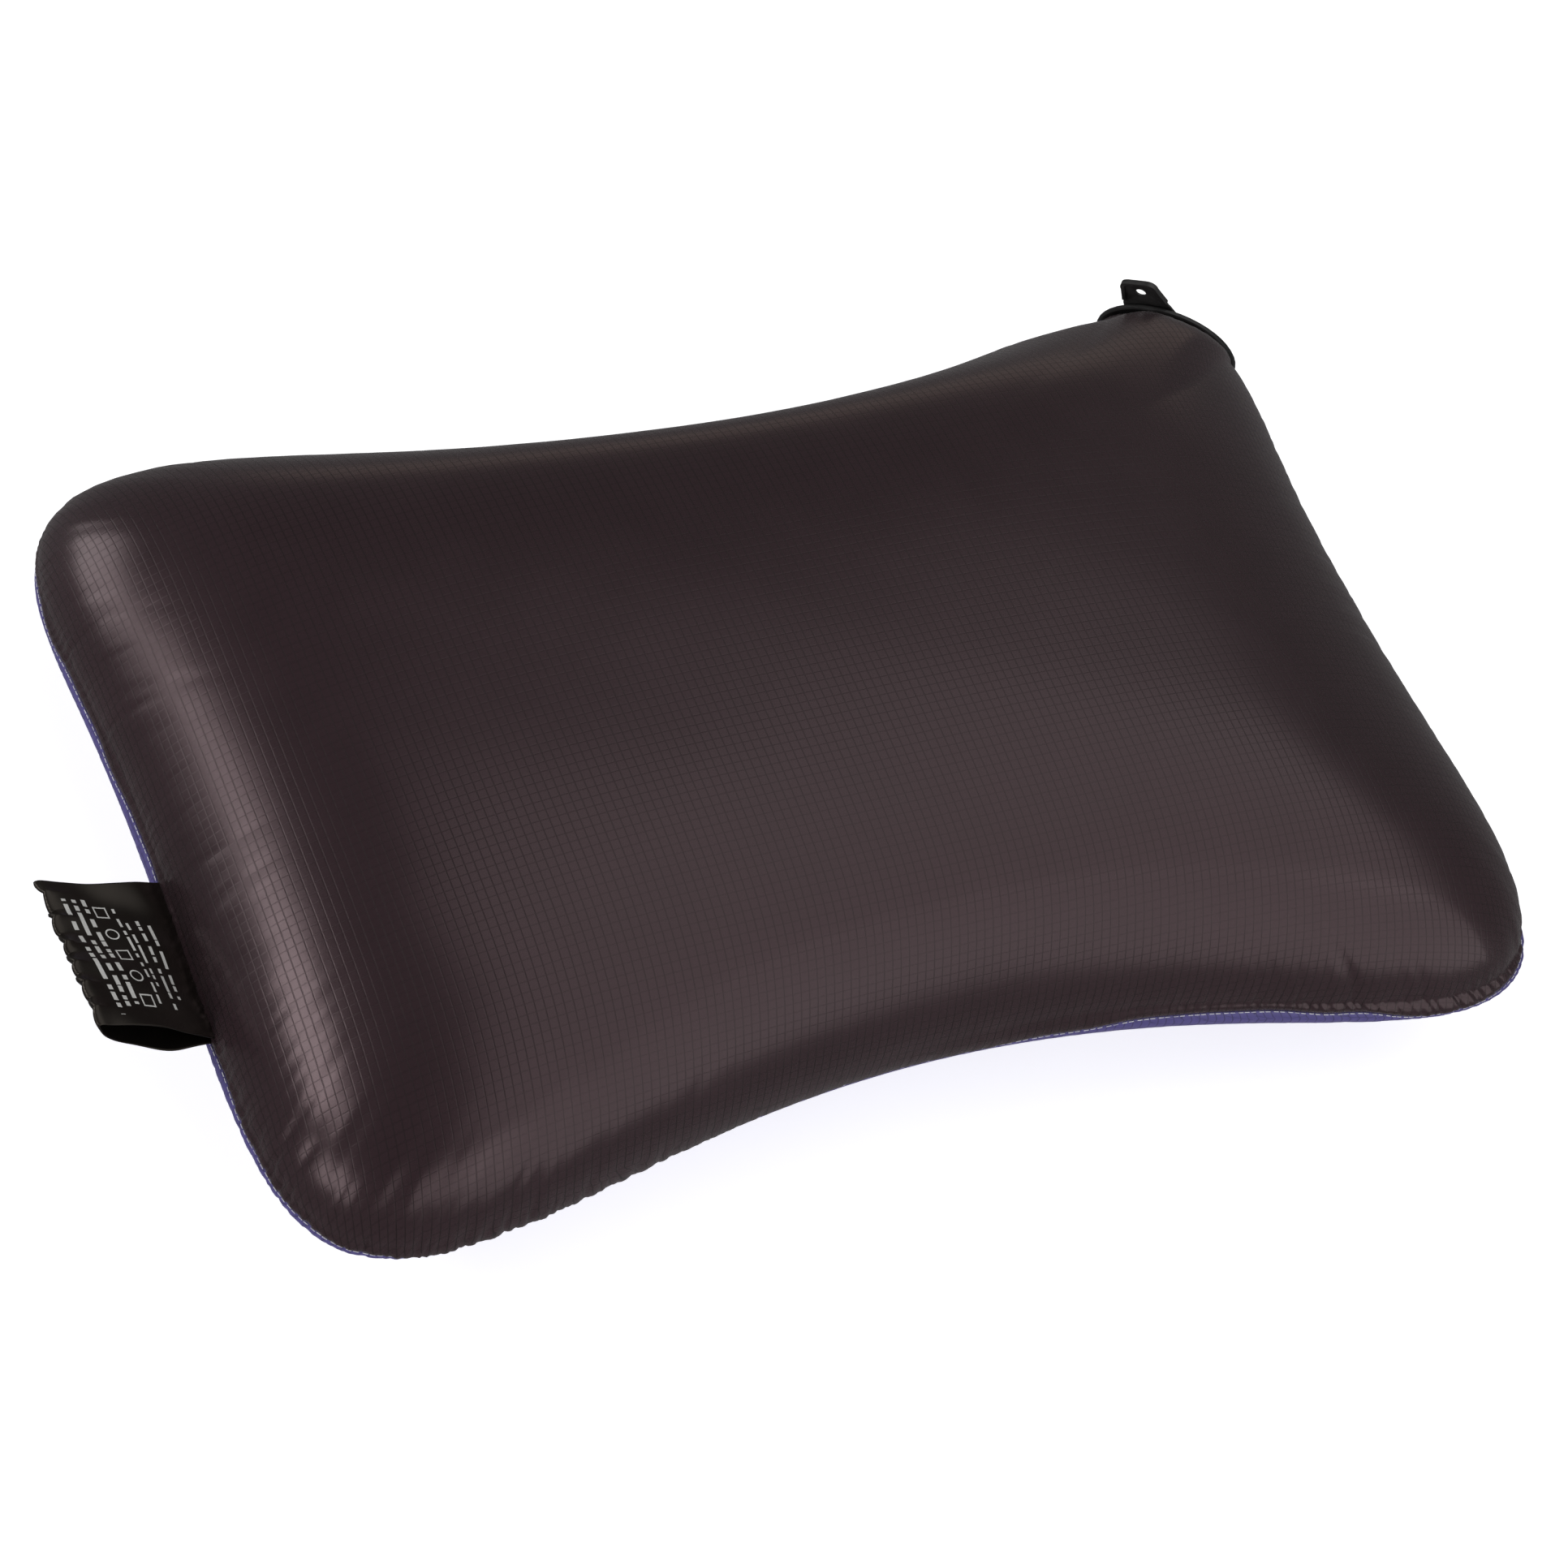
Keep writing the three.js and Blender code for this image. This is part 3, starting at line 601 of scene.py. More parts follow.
# ---- the care label --------------------------------------------------
# A satin ribbon folded into a loop, with both ends caught in the left seam. Its section is given in
# millimetres at its back and front edges, as (reach out from the seam, height above the seam), from one end
# round the fold to the other. The crinkles' and waves' sizes are in millimetres too.
LABEL_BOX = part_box("care_label")
LABEL_BACK = LABEL_BOX[1].y
LABEL_WIDTH = LABEL_BOX[1].y - LABEL_BOX[0].y
LABEL_ROOT_X = -HALF_LENGTH + 5.5 * MM
LABEL_ROOT_Z = SEAM_HEIGHT - SEAM_LOW + 0.6 * MM
LABEL_THICKNESS = 0.35 * MM
LABEL_STEPS = 110
LABEL_ROWS = 150
LABEL_CUSPS = 13
CUSP_JITTER = 0.3
CUSP_BULGES = (0.5, 1.7)
CUSP_BENDS = (0.5, 1.3)
FOLD_DRAWN_IN = 1.4
FOLD_WIDTH = 4.0
FOLD_FAR_WIDTH = 8.5
UPPER_WAVES = 0.45
LOWER_WAVES = 0.25
CORNER_CURL = 1.8
CORNER_CURL_OUT = 1.6
EDGE_DRIFT = 0.5
FRONT_BULGE = 1.2
BACK_UPPER = ((-5, 0.3), (0, 0.6), (7, 3.6), (13, 5.2), (21, 7.4), (28, 10.6), (33.5, 12.6))
BACK_LOWER = ((35.2, 12.2), (33, 10.2), (28, 7.4), (20, 4.2), (12, 2.2), (5, 0.4), (0, -0.2), (-5, -0.4))
FRONT_UPPER = ((-5, 0.3), (0, 0.8), (9, 7.2), (16, 13), (24, 17.6), (30, 20.6), (34, 22.8))
FRONT_LOWER = (
    (35.4, 22.2), (33, 17.4), (28.5, 11.6), (21.5, 6.4), (15, 3.2), (9, 1.4), (0, -0.2), (-5, -0.4))


def smooth_curve(points, count):
    """Points evenly spaced by length along a Catmull-Rom curve through the given ones."""
    p = np.array([points[0]] + list(points) + [points[-1]], float)
    t = np.linspace(0, 1, 24, endpoint=False)[:, None]
    parts = []
    for a, b, c, d in zip(p, p[1:], p[2:], p[3:]):
        parts.append(((2 * b) + (c - a) * t + (2 * a - 5 * b + 4 * c - d) * t ** 2
                      + (3 * b - a - 3 * c + d) * t ** 3) / 2)
    dense = np.concatenate(parts + [p[-1:]])
    length = np.concatenate([[0], np.cumsum(np.linalg.norm(np.diff(dense, axis=0), axis=1))])
    places = np.linspace(0, length[-1], count)
    return np.stack([np.interp(places, length, dense[:, k]) for k in (0, 1)], -1), length[-1]


def label_crinkles(across):
    """The folded outer edge is scalloped: sharp cusps with round bulges between, each bent up or down."""
    generator = np.random.default_rng(8)
    cusps = np.linspace(0, 1, LABEL_CUSPS)
    cusps[1:-1] += generator.uniform(-CUSP_JITTER, CUSP_JITTER, LABEL_CUSPS - 2) / LABEL_CUSPS
    depth = generator.uniform(*CUSP_BULGES, LABEL_CUSPS)
    which = np.clip(np.searchsorted(cusps, across, side="right") - 1, 0, LABEL_CUSPS - 2)
    place = (across - cusps[which]) / (cusps[which + 1] - cusps[which])
    bulge = np.sqrt((4 * place * (1 - place)).clip(0)) * (depth[which] + depth[which + 1]) / 2
    bend = generator.uniform(*CUSP_BENDS, LABEL_CUSPS) * np.where(np.arange(LABEL_CUSPS) % 2, 1, -1)
    lift = np.interp(across, cusps, bend)
    return bulge, lift


def label_waves(across, from_fold, to_end):
    """Slow waves in both layers, which die out at the fold and at the seam."""
    waves = np.sin(across * 9.5 + 0.12 * from_fold) + 0.6 * np.sin(across * 17 - 0.2 * from_fold)
    return waves * np.clip(from_fold / 6, 0, 1) * np.clip(to_end / 12, 0, 1)


def care_label():
    """The folded ribbon and its length. Its rows run from one sewn end round the fold to the other."""
    back, back_length = smooth_curve(BACK_UPPER + BACK_LOWER, LABEL_STEPS)
    front, front_length = smooth_curve(FRONT_UPPER + FRONT_LOWER, LABEL_STEPS)
    across = np.linspace(0, 1, LABEL_ROWS)
    shift, lift = (values[:, None] for values in label_crinkles(across))
    ease = smooth_step(across, 0, 1)[:, None, None]
    section = back[None] * (1 - ease) + front[None] * ease
    across, along = np.meshgrid(across, np.linspace(0, 1, LABEL_STEPS), indexing="ij")
    length = back_length * (1 - across) + front_length * across
    from_fold = np.abs(along - 0.5) * length
    at_fold = np.exp(-(from_fold / FOLD_WIDTH) ** 2)
    waves = label_waves(across, from_fold, length / 2 - from_fold)
    curl = np.exp(-(across / 0.06) ** 2) * np.exp(-(from_fold / 5.0) ** 2)
    reach = section[..., 0] + (shift - FOLD_DRAWN_IN) * at_fold + CORNER_CURL_OUT * curl
    rise = section[..., 1] + lift * at_fold + 0.5 * lift * np.exp(-(from_fold / FOLD_FAR_WIDTH) ** 2)
    rise = rise + np.where(along < 0.5, UPPER_WAVES, LOWER_WAVES) * waves + CORNER_CURL * curl
    drift = EDGE_DRIFT * np.sin(along * 14 + 1) * (0.5 - across)
    forward = FRONT_BULGE * np.exp(-((along - 0.8) / 0.07) ** 2) * across ** 6
    points = np.stack([LABEL_ROOT_X - reach * MM,
                       LABEL_BACK - across * LABEL_WIDTH + (drift - forward) * MM,
                       LABEL_ROOT_Z + rise * MM], -1)
    faces = []
    for row in range(LABEL_ROWS - 1):
        for step in range(LABEL_STEPS - 1):
            a = row * LABEL_STEPS + step
            faces.append([a, a + 1, a + LABEL_STEPS + 1, a + LABEL_STEPS])
    piece = new_object("folded_care_label", points.reshape(-1, 3), faces)
    places = np.stack([along * length, across * LABEL_WIDTH / MM, np.zeros_like(along)], -1)
    add_vector_attribute(piece, "label", places)
    return thickened(piece, LABEL_THICKNESS, offset=0), (back_length + front_length) / 2 * MM


label, label_length = care_label()

# ---- the bladder: two sheets of film inside the cover ----------------
FILM_CLEAR = 0.7 * MM
FILM_THICKNESS = 0.4 * MM
FILM_NECK_RADIUS = 19.5 * MM
FILM_NECK_DEPTH = 11.4 * MM
FILM_COLUMNS = 480
FILM_RINGS = 56
FILM_INSET = 1.9 * MM
WELD_INSET = 4 * MM
FILM_INNERMOST = 0.02
FILM_CROWDING = 2.4
PUCKERS = 130
PUCKER_DEPTH = 0.35 * MM
PUCKERS_BEGIN = 2 * MM
PUCKERS_END = 9 * MM
WELD_BLEND = 4 * MM


def cover_tree():
    """A search tree of the whole cover's outer surface, with normals that face out."""
    points, faces = [], []
    for grid, side in ((top_grid, 1), (bottom_grid, -1)):
        start = len(points)
        points.extend(Vector(p) for p in grid.reshape(-1, 3))
        rows, columns = grid.shape[:2]
        for row in range(rows - 1):
            near = start + row * columns
            far = near + columns
            for i in range(columns):
                ahead = (i + 1) % columns
                face = (near + i, near + ahead, far + ahead, far + i)
                faces.append(face if side > 0 else face[::-1])
    return BVHTree.FromPolygons(points, faces)


def pressed_inside(points, tree, gap):
    """Moves each point in along the cover's normal until it lies at least a gap inside the cover."""
    for i, point in enumerate(points):
        place, normal, _, _ = tree.find_nearest(Vector(point))
        depth = (place - Vector(point)).dot(normal)
        if depth < gap:
            points[i] -= np.array(normal) * (gap - depth)
    return points


def bladder(name, side, tree):
    """One sheet of the bladder: a smooth film that puckers near its weld and lies just inside the cover."""
    angles = np.interp(np.linspace(0, SEAM_LENGTH, FILM_COLUMNS, endpoint=False), PLACES, ANGLES)
    share = (1 - (1 - np.linspace(FILM_INNERMOST, 1, FILM_RINGS)) ** FILM_CROWDING)[::-1]
    grid = panel_point(share[:, None], angles[None, :], side, FILM_NECK_RADIUS, FILM_NECK_DEPTH)
    steps = np.linalg.norm(np.diff(grid, axis=0), axis=2)
    distance = np.concatenate([np.zeros((1, FILM_COLUMNS)), np.cumsum(steps, axis=0)])
    wave = np.cos(TAU * PUCKERS * np.arange(FILM_COLUMNS) / FILM_COLUMNS + 2 * np.sin(7 * angles))
    pucker = PUCKER_DEPTH * wave * np.exp(-distance / PUCKERS_END) * (1 - np.exp(-distance / PUCKERS_BEGIN))
    grid = grid - surface_normals(grid, side) * (FILM_INSET + pucker)[..., None]
    edge = edge_point(angles, side, FILM_NECK_RADIUS, FILM_NECK_DEPTH)
    middle = np.array([0, 0, SEAM_HEIGHT])
    reach = np.linalg.norm(edge - middle, axis=1, keepdims=True)
    weld = edge + (middle - edge) / reach * np.where(in_neck(angles), 0, WELD_INSET)[:, None]
    grid += (weld - grid[0]) * np.exp(-distance / WELD_BLEND)[..., None]
    points = pressed_inside(grid.reshape(-1, 3), tree, FABRIC + FILM_CLEAR)
    points = np.concatenate([points, points[-FILM_COLUMNS:].mean(axis=0, keepdims=True)])
    faces = disc_faces([FILM_COLUMNS] * FILM_RINGS, side)
    return thickened(new_object(name, points, faces), FILM_THICKNESS)


COVER_TREE = cover_tree()
bladder_upper = bladder("bladder_upper_film", 1, COVER_TREE)
bladder_lower = bladder("bladder_lower_film", -1, COVER_TREE)

# ---- the valve's pieces ----------------------------------------------
COLLAR_RADIUS = 18.85 * MM
COLLAR_HALF_WIDTH = 1.0 * MM
COLLAR_DEPTH = 3.6 * MM
COLLAR_HALF_DEPTH = 1.35 * MM
COLLAR_GATHERS = 54
COLLAR_GATHER_DEPTH = 0.28 * MM
COLLAR_UNEVENNESS = 0.02 * MM
COLLAR_POWER = 3.2
COLLAR_COLUMNS = 432
COLLAR_SECTION = 20
MERGE_DISTANCE = 0.004 * MM
BEVEL_SEGMENTS = 3
FLAT_BELOW = math.radians(1)
ROUND_ABOVE = math.radians(30)
SHARP_ABOVE = math.radians(40)


def superellipse(turn, power):
    return (abs(math.cos(turn)) ** power + abs(math.sin(turn)) ** power) ** (-1 / power)


def moulded(name, node, radius):
    """A copy of a CAD node with its flat triangles merged and every sharp edge rounded."""
    piece = new_object(name, [], [])
    bm = bmesh.new()
    bm.from_mesh(frame["nodes"][node].data)
    bmesh.ops.remove_doubles(bm, verts=bm.verts, dist=MERGE_DISTANCE)
    bmesh.ops.dissolve_limit(bm, angle_limit=FLAT_BELOW, verts=bm.verts, edges=bm.edges)
    bm.to_mesh(piece.data)
    bm.free()
    bevel = piece.modifiers.new("round", "BEVEL")
    bevel.width = radius
    bevel.segments = BEVEL_SEGMENTS
    bevel.limit_method = "ANGLE"
    bevel.angle_limit = ROUND_ABOVE
    apply_modifiers(piece)
    for polygon in piece.data.polygons:
        polygon.use_smooth = True
    piece.data.set_sharp_from_angle(angle=SHARP_ABOVE)
    return piece


def neck_elastic():
    """The hemmed elastic behind the valve's rim, with its cloth gathered round it."""
    generator = np.random.default_rng(3)
    points, faces = [], []
    for i in range(COLLAR_COLUMNS):
        turn = TAU * i / COLLAR_COLUMNS
        gather = 0.5 + 0.5 * math.cos(COLLAR_GATHERS * turn + 1.5 * math.sin(5 * turn))
        for k in range(COLLAR_SECTION):
            a = TAU * k / COLLAR_SECTION
            size = superellipse(a, COLLAR_POWER)
            out = COLLAR_HALF_WIDTH * size * math.cos(a) - COLLAR_GATHER_DEPTH * gather * max(0, math.cos(a))
            radius = COLLAR_RADIUS + out + COLLAR_UNEVENNESS * generator.normal()
            along = -COLLAR_DEPTH + COLLAR_HALF_DEPTH * size * math.sin(a)
            points.append(VALVE_FRAME @ Vector((radius * math.cos(turn), radius * math.sin(turn), along)))
            ahead = (i + 1) % COLLAR_COLUMNS * COLLAR_SECTION
            up = (k + 1) % COLLAR_SECTION
            faces.append([i * COLLAR_SECTION + k, ahead + k, ahead + up, i * COLLAR_SECTION + up])
    return new_object("gathered_neck_elastic", points, faces)


collar = neck_elastic()
valve_body = moulded("valve_rim_and_barrel", "valve_base", 0.22 * MM)
plug = moulded("deflation_plug_moulding", "deflation_plug", 0.2 * MM)
cap = moulded("inflation_cap_moulding", "inflation_cap", 0.2 * MM)
flap = moulded("silicone_check_flap", "check_flap", 0.12 * MM)

# ---- materials -------------------------------------------------------
def srgb(red, green, blue):
    """A linear colour from display values of 0 to 255."""
    shares = [c / 255 for c in (red, green, blue)]
    linear = [s / 12.92 if s <= 0.04 else ((s + 0.055) / 1.055) ** 2.4 for s in shares]
    return (*linear, 1)


def scaled(colour, factor, lift=0):
    """The same colour made lighter or darker."""
    return tuple(min(1, c * factor + lift) for c in colour[:3]) + (1,)


class Nodes:
    """Short helpers that add nodes to one material."""

    def __init__(self, name):
        self.material = bpy.data.materials.new(name)
        self.material.use_nodes = True
        self.tree = self.material.node_tree
        self.shader = self.tree.nodes["Principled BSDF"]

    def add(self, kind, **settings):
        node = self.tree.nodes.new("ShaderNode" + kind)
        for key, value in settings.items():
            setattr(node, key, value)
        return node

    def put(self, socket, value):
        if isinstance(value, bpy.types.NodeSocket):
            self.tree.links.new(value, socket)
        else:
            socket.default_value = value

    def math(self, operation, *values):
        node = self.add("Math", operation=operation)
        for i, value in enumerate(values):
            self.put(node.inputs[i], value)
        return node.outputs[0]

    def times(self, first, second):
        return self.math("MULTIPLY", first, second)

    def away(self, value, middle):
        """How far a value is from a middle one."""
        return self.math("ABSOLUTE", self.math("SUBTRACT", value, middle))

    def attribute(self, name):
        return self.add("Attribute", attribute_name=name).outputs["Vector"]

    def split(self, vector):
        node = self.add("SeparateXYZ")
        self.put(node.inputs[0], vector)
        return node.outputs

    def noise(self, vector, scale, detail, roughness):
        node = self.add("TexNoise")
        self.put(node.inputs["Vector"], vector)
        node.inputs["Scale"].default_value = scale
        node.inputs["Detail"].default_value = detail
        node.inputs["Roughness"].default_value = roughness
        return node.outputs["Fac"]

    def ramp(self, value, low, high, out_low=0.0, out_high=1.0):
        node = self.add("MapRange")
        self.put(node.inputs["Value"], value)
        node.inputs["From Min"].default_value = low
        node.inputs["From Max"].default_value = high
        node.inputs["To Min"].default_value = out_low
        node.inputs["To Max"].default_value = out_high
        return node.outputs[0]

    def mix(self, factor, first, second):
        node = self.add("Mix", data_type="RGBA")
        self.put(node.inputs["Factor"], factor)
        for name, colour in (("A", first), ("B", second)):
            self.put(next(s for s in node.inputs if s.name == name and s.type == "RGBA"), colour)
        return next(s for s in node.outputs if s.type == "RGBA")

    def bump(self, height, strength, distance):
        node = self.add("Bump")
        self.put(node.inputs["Height"], height)
        node.inputs["Strength"].default_value = strength
        node.inputs["Distance"].default_value = distance
        return node.outputs[0]

    def set(self, **inputs):
        for name, value in inputs.items():
            self.put(self.shader.inputs[name.replace("_", " ")], value)
        return self.material


# The ripstop's grid: the pitch of its lines along and across the pillow, their width, and how strong those
# that run along it are beside the others. WEAVE is the pitch of the plain weave between them.
RIP_X = 2.50 * MM
RIP_Y = 2.77 * MM
RIP_WIDTH = 0.26 * MM
RIP_ALONG = 0.55
WEAVE = 0.36 * MM


def ripstop(name, cloth, line, roughness, tint):
    """Satin ripstop nylon: a grid of thicker threads in a fine plain weave, on the fabric's own places."""
    n = Nodes(name)
    place = n.attribute("fabric")
    x, y, _ = n.split(place)
    grid = []
    for value, pitch in ((x, RIP_X), (y, RIP_Y)):
        cell = n.math("FRACT", n.math("DIVIDE", value, pitch))
        grid.append(n.ramp(n.away(cell, 0.5), 0.5 - RIP_WIDTH / pitch, 0.5))
    lines = n.math("MAXIMUM", grid[0], n.times(grid[1], RIP_ALONG))
    weave_x = n.math("SINE", n.times(x, TAU / WEAVE))
    weave_y = n.math("SINE", n.times(y, TAU / WEAVE))
    weave = n.times(weave_x, weave_y)
    cloudy = n.noise(place, 45, 4, 0.6)
    streaks = n.noise(place, 900, 2, 0.5)
    tone = n.ramp(n.math("ADD", cloudy, n.times(streaks, 0.35)), 0.4, 0.95, 0.9, 1.1)
    base = n.add("VectorMath", operation="SCALE")
    n.put(base.inputs[0], n.mix(lines, cloth, line))
    n.put(base.inputs["Scale"], tone)
    height = n.math("ADD", n.times(lines, -0.5), n.times(weave, 0.03))
    normal = n.bump(height, 0.4, 0.1 * MM)
    unevenness = n.math("ADD", lines, n.times(cloudy, 0.2))
    rough = n.ramp(unevenness, 0.08, 1.1, roughness - 0.02, roughness + 0.14)
    return n.set(Base_Color=base.outputs[0], Roughness=rough, Normal=normal, Sheen_Weight=0.06,
                 Sheen_Roughness=0.4, Specular_IOR_Level=0.6, Specular_Tint=tint)


def soft_plastic(name, colour, roughness):
    """Moulded soft plastic: a fine spark-eroded grain, faint handling marks, and edges painted paler, partly
    as wear and partly as a painted highlight.
    """
    n = Nodes(name)
    place = n.add("TexCoord").outputs["Object"]
    grain = n.noise(place, 6000, 2, 0.6)
    marks = n.noise(place, 220, 4, 0.6)
    # Sharp outer edges are painted paler: partly wear, partly a painted highlight on raised edges and beads.
    edges = n.ramp(n.add("NewGeometry").outputs["Pointiness"], 0.51, 0.6)
    worn = n.times(edges, n.ramp(marks, 0.3, 0.6, 0.2, 0.9))
    handled = n.times(n.ramp(marks, 0.35, 0.75), 0.2)
    # Edges and handling marks go towards a much paler colour; on the edges this paler colour is partly
    # painted highlight.
    tone = n.mix(n.math("MAXIMUM", handled, worn), colour, scaled(colour, 4, 0.012))
    return n.set(Base_Color=tone, Roughness=n.ramp(marks, 0.3, 0.7, roughness - 0.06, roughness + 0.08),
                 Normal=n.bump(grain, 0.12, 0.05 * MM))


def film(name, colour):
    """Translucent bladder film, a little cloudy, with a fine embossed dot."""
    n = Nodes(name)
    place = n.add("TexCoord").outputs["Object"]
    dots = n.add("TexVoronoi")
    n.put(dots.inputs["Vector"], place)
    dots.inputs["Scale"].default_value = 1400
    cloudy = n.noise(place, 60, 4, 0.6)
    tone = n.mix(cloudy, colour, scaled(colour, 0.72))
    return n.set(Base_Color=tone, Roughness=n.ramp(cloudy, 0.3, 0.7, 0.26, 0.4),
                 Normal=n.bump(dots.outputs["Distance"], 0.2, 0.05 * MM), Transmission_Weight=0.35)


def knitted(name, colour):
    """Black knitted elastic: fine ribs round the neck with a slight fuzz."""
    n = Nodes(name)
    place = n.add("TexCoord").outputs["Object"]
    ribs = n.add("TexWave")
    n.put(ribs.inputs["Vector"], place)
    ribs.inputs["Scale"].default_value = 420
    ribs.inputs["Distortion"].default_value = 1.5
    fuzz = n.noise(place, 3000, 3, 0.6)
    tone = n.mix(n.times(ribs.outputs["Fac"], 0.6), colour, scaled(colour, 2.2))
    height = n.math("ADD", ribs.outputs["Fac"], n.times(fuzz, 0.4))
    return n.set(Base_Color=tone, Roughness=n.ramp(fuzz, 0.2, 0.8, 0.75, 0.92),
                 Normal=n.bump(height, 0.4, 0.1 * MM), Sheen_Weight=0.2, Sheen_Roughness=0.5)


# The label's print, in millimetres from the ribbon's end and from its back edge: the middle and height of
# each row of bars, where it begins and ends, and a number that sets its bars' lengths, then the shapes.
PRINT_ROWS = (
    (37.4, 1.35, 6, 47, 1),
    (34.3, 1.35, 6, 44, 2),
    (31.2, 1.35, 5.5, 43, 3),
    (23.2, 0.8, 8, 42, 4),
    (21.2, 0.8, 13, 36, 5),
    (17.9, 1.0, 12, 43, 6),
    (14.9, 1.0, 14, 40, 7),
)
BAR_SCALE = 0.42
BAR_GAPS = 0.44
SEED_STEP = 17.3
SHAPES = ((9.5, "square"), (17.5, "ring"), (25.5, "square"), (33.5, "ring"), (41.5, "square"))
SHAPE_ROW = 27.2
SHAPE_SIZE = 1.75
SHAPE_LINE = 0.22
RIB_PITCH = 0.42
RIB_SLANT = 0.35


def label_satin():
    """Black satin ribbon with a fine rib across it, printed with plain white bars and simple shapes."""
    n = Nodes("label_satin")
    place = n.attribute("label")
    u, v, _ = n.split(place)
    rib = n.math("SINE", n.times(n.math("ADD", u, n.times(v, RIB_SLANT)), TAU / RIB_PITCH))
    fibres = n.noise(place, 3.5, 3, 0.6)
    marks = None
    for middle, height, begin, end, seed in PRINT_ROWS:
        in_row = n.math("LESS_THAN", n.away(u, middle), height / 2)
        in_span = n.math("LESS_THAN", n.away(v, (begin + end) / 2), (end - begin) / 2)
        bars = n.add("TexNoise", noise_dimensions="1D")
        n.put(bars.inputs["W"], n.math("ADD", v, seed * SEED_STEP))
        bars.inputs["Scale"].default_value = BAR_SCALE
        bars.inputs["Detail"].default_value = 0
        bar = n.math("GREATER_THAN", bars.outputs["Fac"], BAR_GAPS)
        mark = n.times(n.times(in_row, in_span), bar)
        marks = mark if marks is None else n.math("MAXIMUM", marks, mark)
    for place_v, kind in SHAPES:
        du = n.away(u, SHAPE_ROW)
        dv = n.away(v, place_v)
        if kind == "ring":
            size = n.math("SQRT", n.math("ADD", n.times(du, du), n.times(dv, dv)))
        else:
            size = n.math("MAXIMUM", du, dv)
        line = n.math("LESS_THAN", n.away(size, SHAPE_SIZE), SHAPE_LINE)
        marks = n.math("MAXIMUM", marks, line)
    worn = n.times(marks, n.ramp(n.noise(place, 6, 3, 0.7), 0.3, 0.45, 0.35, 1))
    cloth = n.mix(n.ramp(fibres, 0.3, 0.7), srgb(13, 11, 10), srgb(24, 20, 18))
    height = n.math("ADD", n.times(rib, 0.3), fibres)
    return n.set(Base_Color=n.mix(worn, cloth, srgb(225, 225, 222)),
                 Roughness=n.ramp(fibres, 0.2, 0.8, 0.26, 0.42),
                 Normal=n.bump(height, 0.25, 0.06 * MM), Specular_Tint=(1, 0.88, 0.76, 1), Anisotropic=0.4)


CHARCOAL = ripstop("charcoal_ripstop", srgb(47, 34, 38), srgb(17, 12, 14), 0.25, (1, 0.76, 0.79, 1))
PURPLE = ripstop("purple_ripstop", srgb(80, 72, 132), srgb(50, 44, 88), 0.4, (0.85, 0.85, 1, 1))
THREAD = soft_plastic("lavender_thread", srgb(150, 145, 180), 0.5)
VALVE_PLASTIC = soft_plastic("valve_plastic", srgb(22, 21, 21), 0.38)
FLAP_SILICONE = soft_plastic("flap_silicone", srgb(120, 118, 114), 0.35)
FILM = film("bladder_film", srgb(176, 174, 170))
ELASTIC = knitted("neck_elastic", srgb(20, 19, 20))
SATIN = label_satin()


def give(obj, material):
    obj.data.materials.clear()
    obj.data.materials.append(material)
    return obj


def stands_for(piece, node, body, finish):
    """Puts a piece in a CAD node's place, on its body and with its finish."""
    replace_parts(give(piece, finish), node)
    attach(piece, body)


# ---- what each piece stands for --------------------------------------
stands_for(cover_top, "cover_top", "pillow", CHARCOAL)
stands_for(cover_bottom, "cover_bottom", "pillow", PURPLE)
stands_for(stitches, "seam_thread", "pillow", THREAD)
stands_for(label, "care_label", "pillow", SATIN)
stands_for(bladder_upper, "bladder_top", "pillow", FILM)
stands_for(bladder_lower, "bladder_bottom", "pillow", FILM)
stands_for(collar, "cover_collar", "pillow", ELASTIC)
stands_for(valve_body, "valve_base", "pillow", VALVE_PLASTIC)
stands_for(plug, "deflation_plug", "plug", VALVE_PLASTIC)
stands_for(cap, "inflation_cap", "cap", VALVE_PLASTIC)
stands_for(flap, "check_flap", "flap", FLAP_SILICONE)

# ---- camera, floor and light -----------------------------------------
CAMERA_TURN = 219
CAMERA_RISE = 52
CAMERA_ROLL = math.radians(20.6)
CAMERA_DISTANCE = 1.1427
CAMERA_LENS = 93.6
CAMERA_SENSOR = 36
AIM_HEIGHT = 45 * MM
AIM_ACROSS = -2.4 * MM
AIM_UP = -12.8 * MM
FLOOR_HALF = 20
FLOOR_DROP = 0.2 * MM
FLOOR_GLOW = 0.7
LIGHT_AIM = Vector((0, 0, 60 * MM))
LIGHT_DISTANCE = 1.5
WHITE = (1, 1, 1)
WARM = (1, 0.82, 0.66)
# Each softbox: degrees from +Y towards +X, degrees up, width and height in metres, watts and colour.
SOFTBOXES = (
    ("left_low_softbox", 247, 12, 0.7, 0.4, 2.4, WHITE),
    ("left_back_softbox", 315, 12, 0.6, 0.5, 2.6, WHITE),
    ("left_softbox", 285, 32, 0.9, 0.4, 5.2, WHITE),
    ("front_low_softbox", 185, 14, 0.8, 0.6, 1.4, WHITE),
    ("front_softbox", 152, 10, 1.3, 1.2, 4.2, WHITE),
    ("back_softbox", 30, 8, 1.4, 0.4, 0.45, WARM),
)
# A wide panel overhead, whose far edge shows as the upper edge of the broad highlight along the top.
PANEL_PLACE = Vector((0.99, -0.58, 1.5))
PANEL_WIDTH = 2.4
PANEL_LENGTH = 3.0
PANEL_POWER = 17.5
PANEL_TURN = math.radians(8.5)
WORLD_STRENGTH = 0.12


def towards(turn, rise):
    """A unit vector from its degrees from +Y towards +X and its degrees up from level."""
    turn, rise = math.radians(turn), math.radians(rise)
    return Vector((math.sin(turn) * math.cos(rise), math.cos(turn) * math.cos(rise), math.sin(rise)))


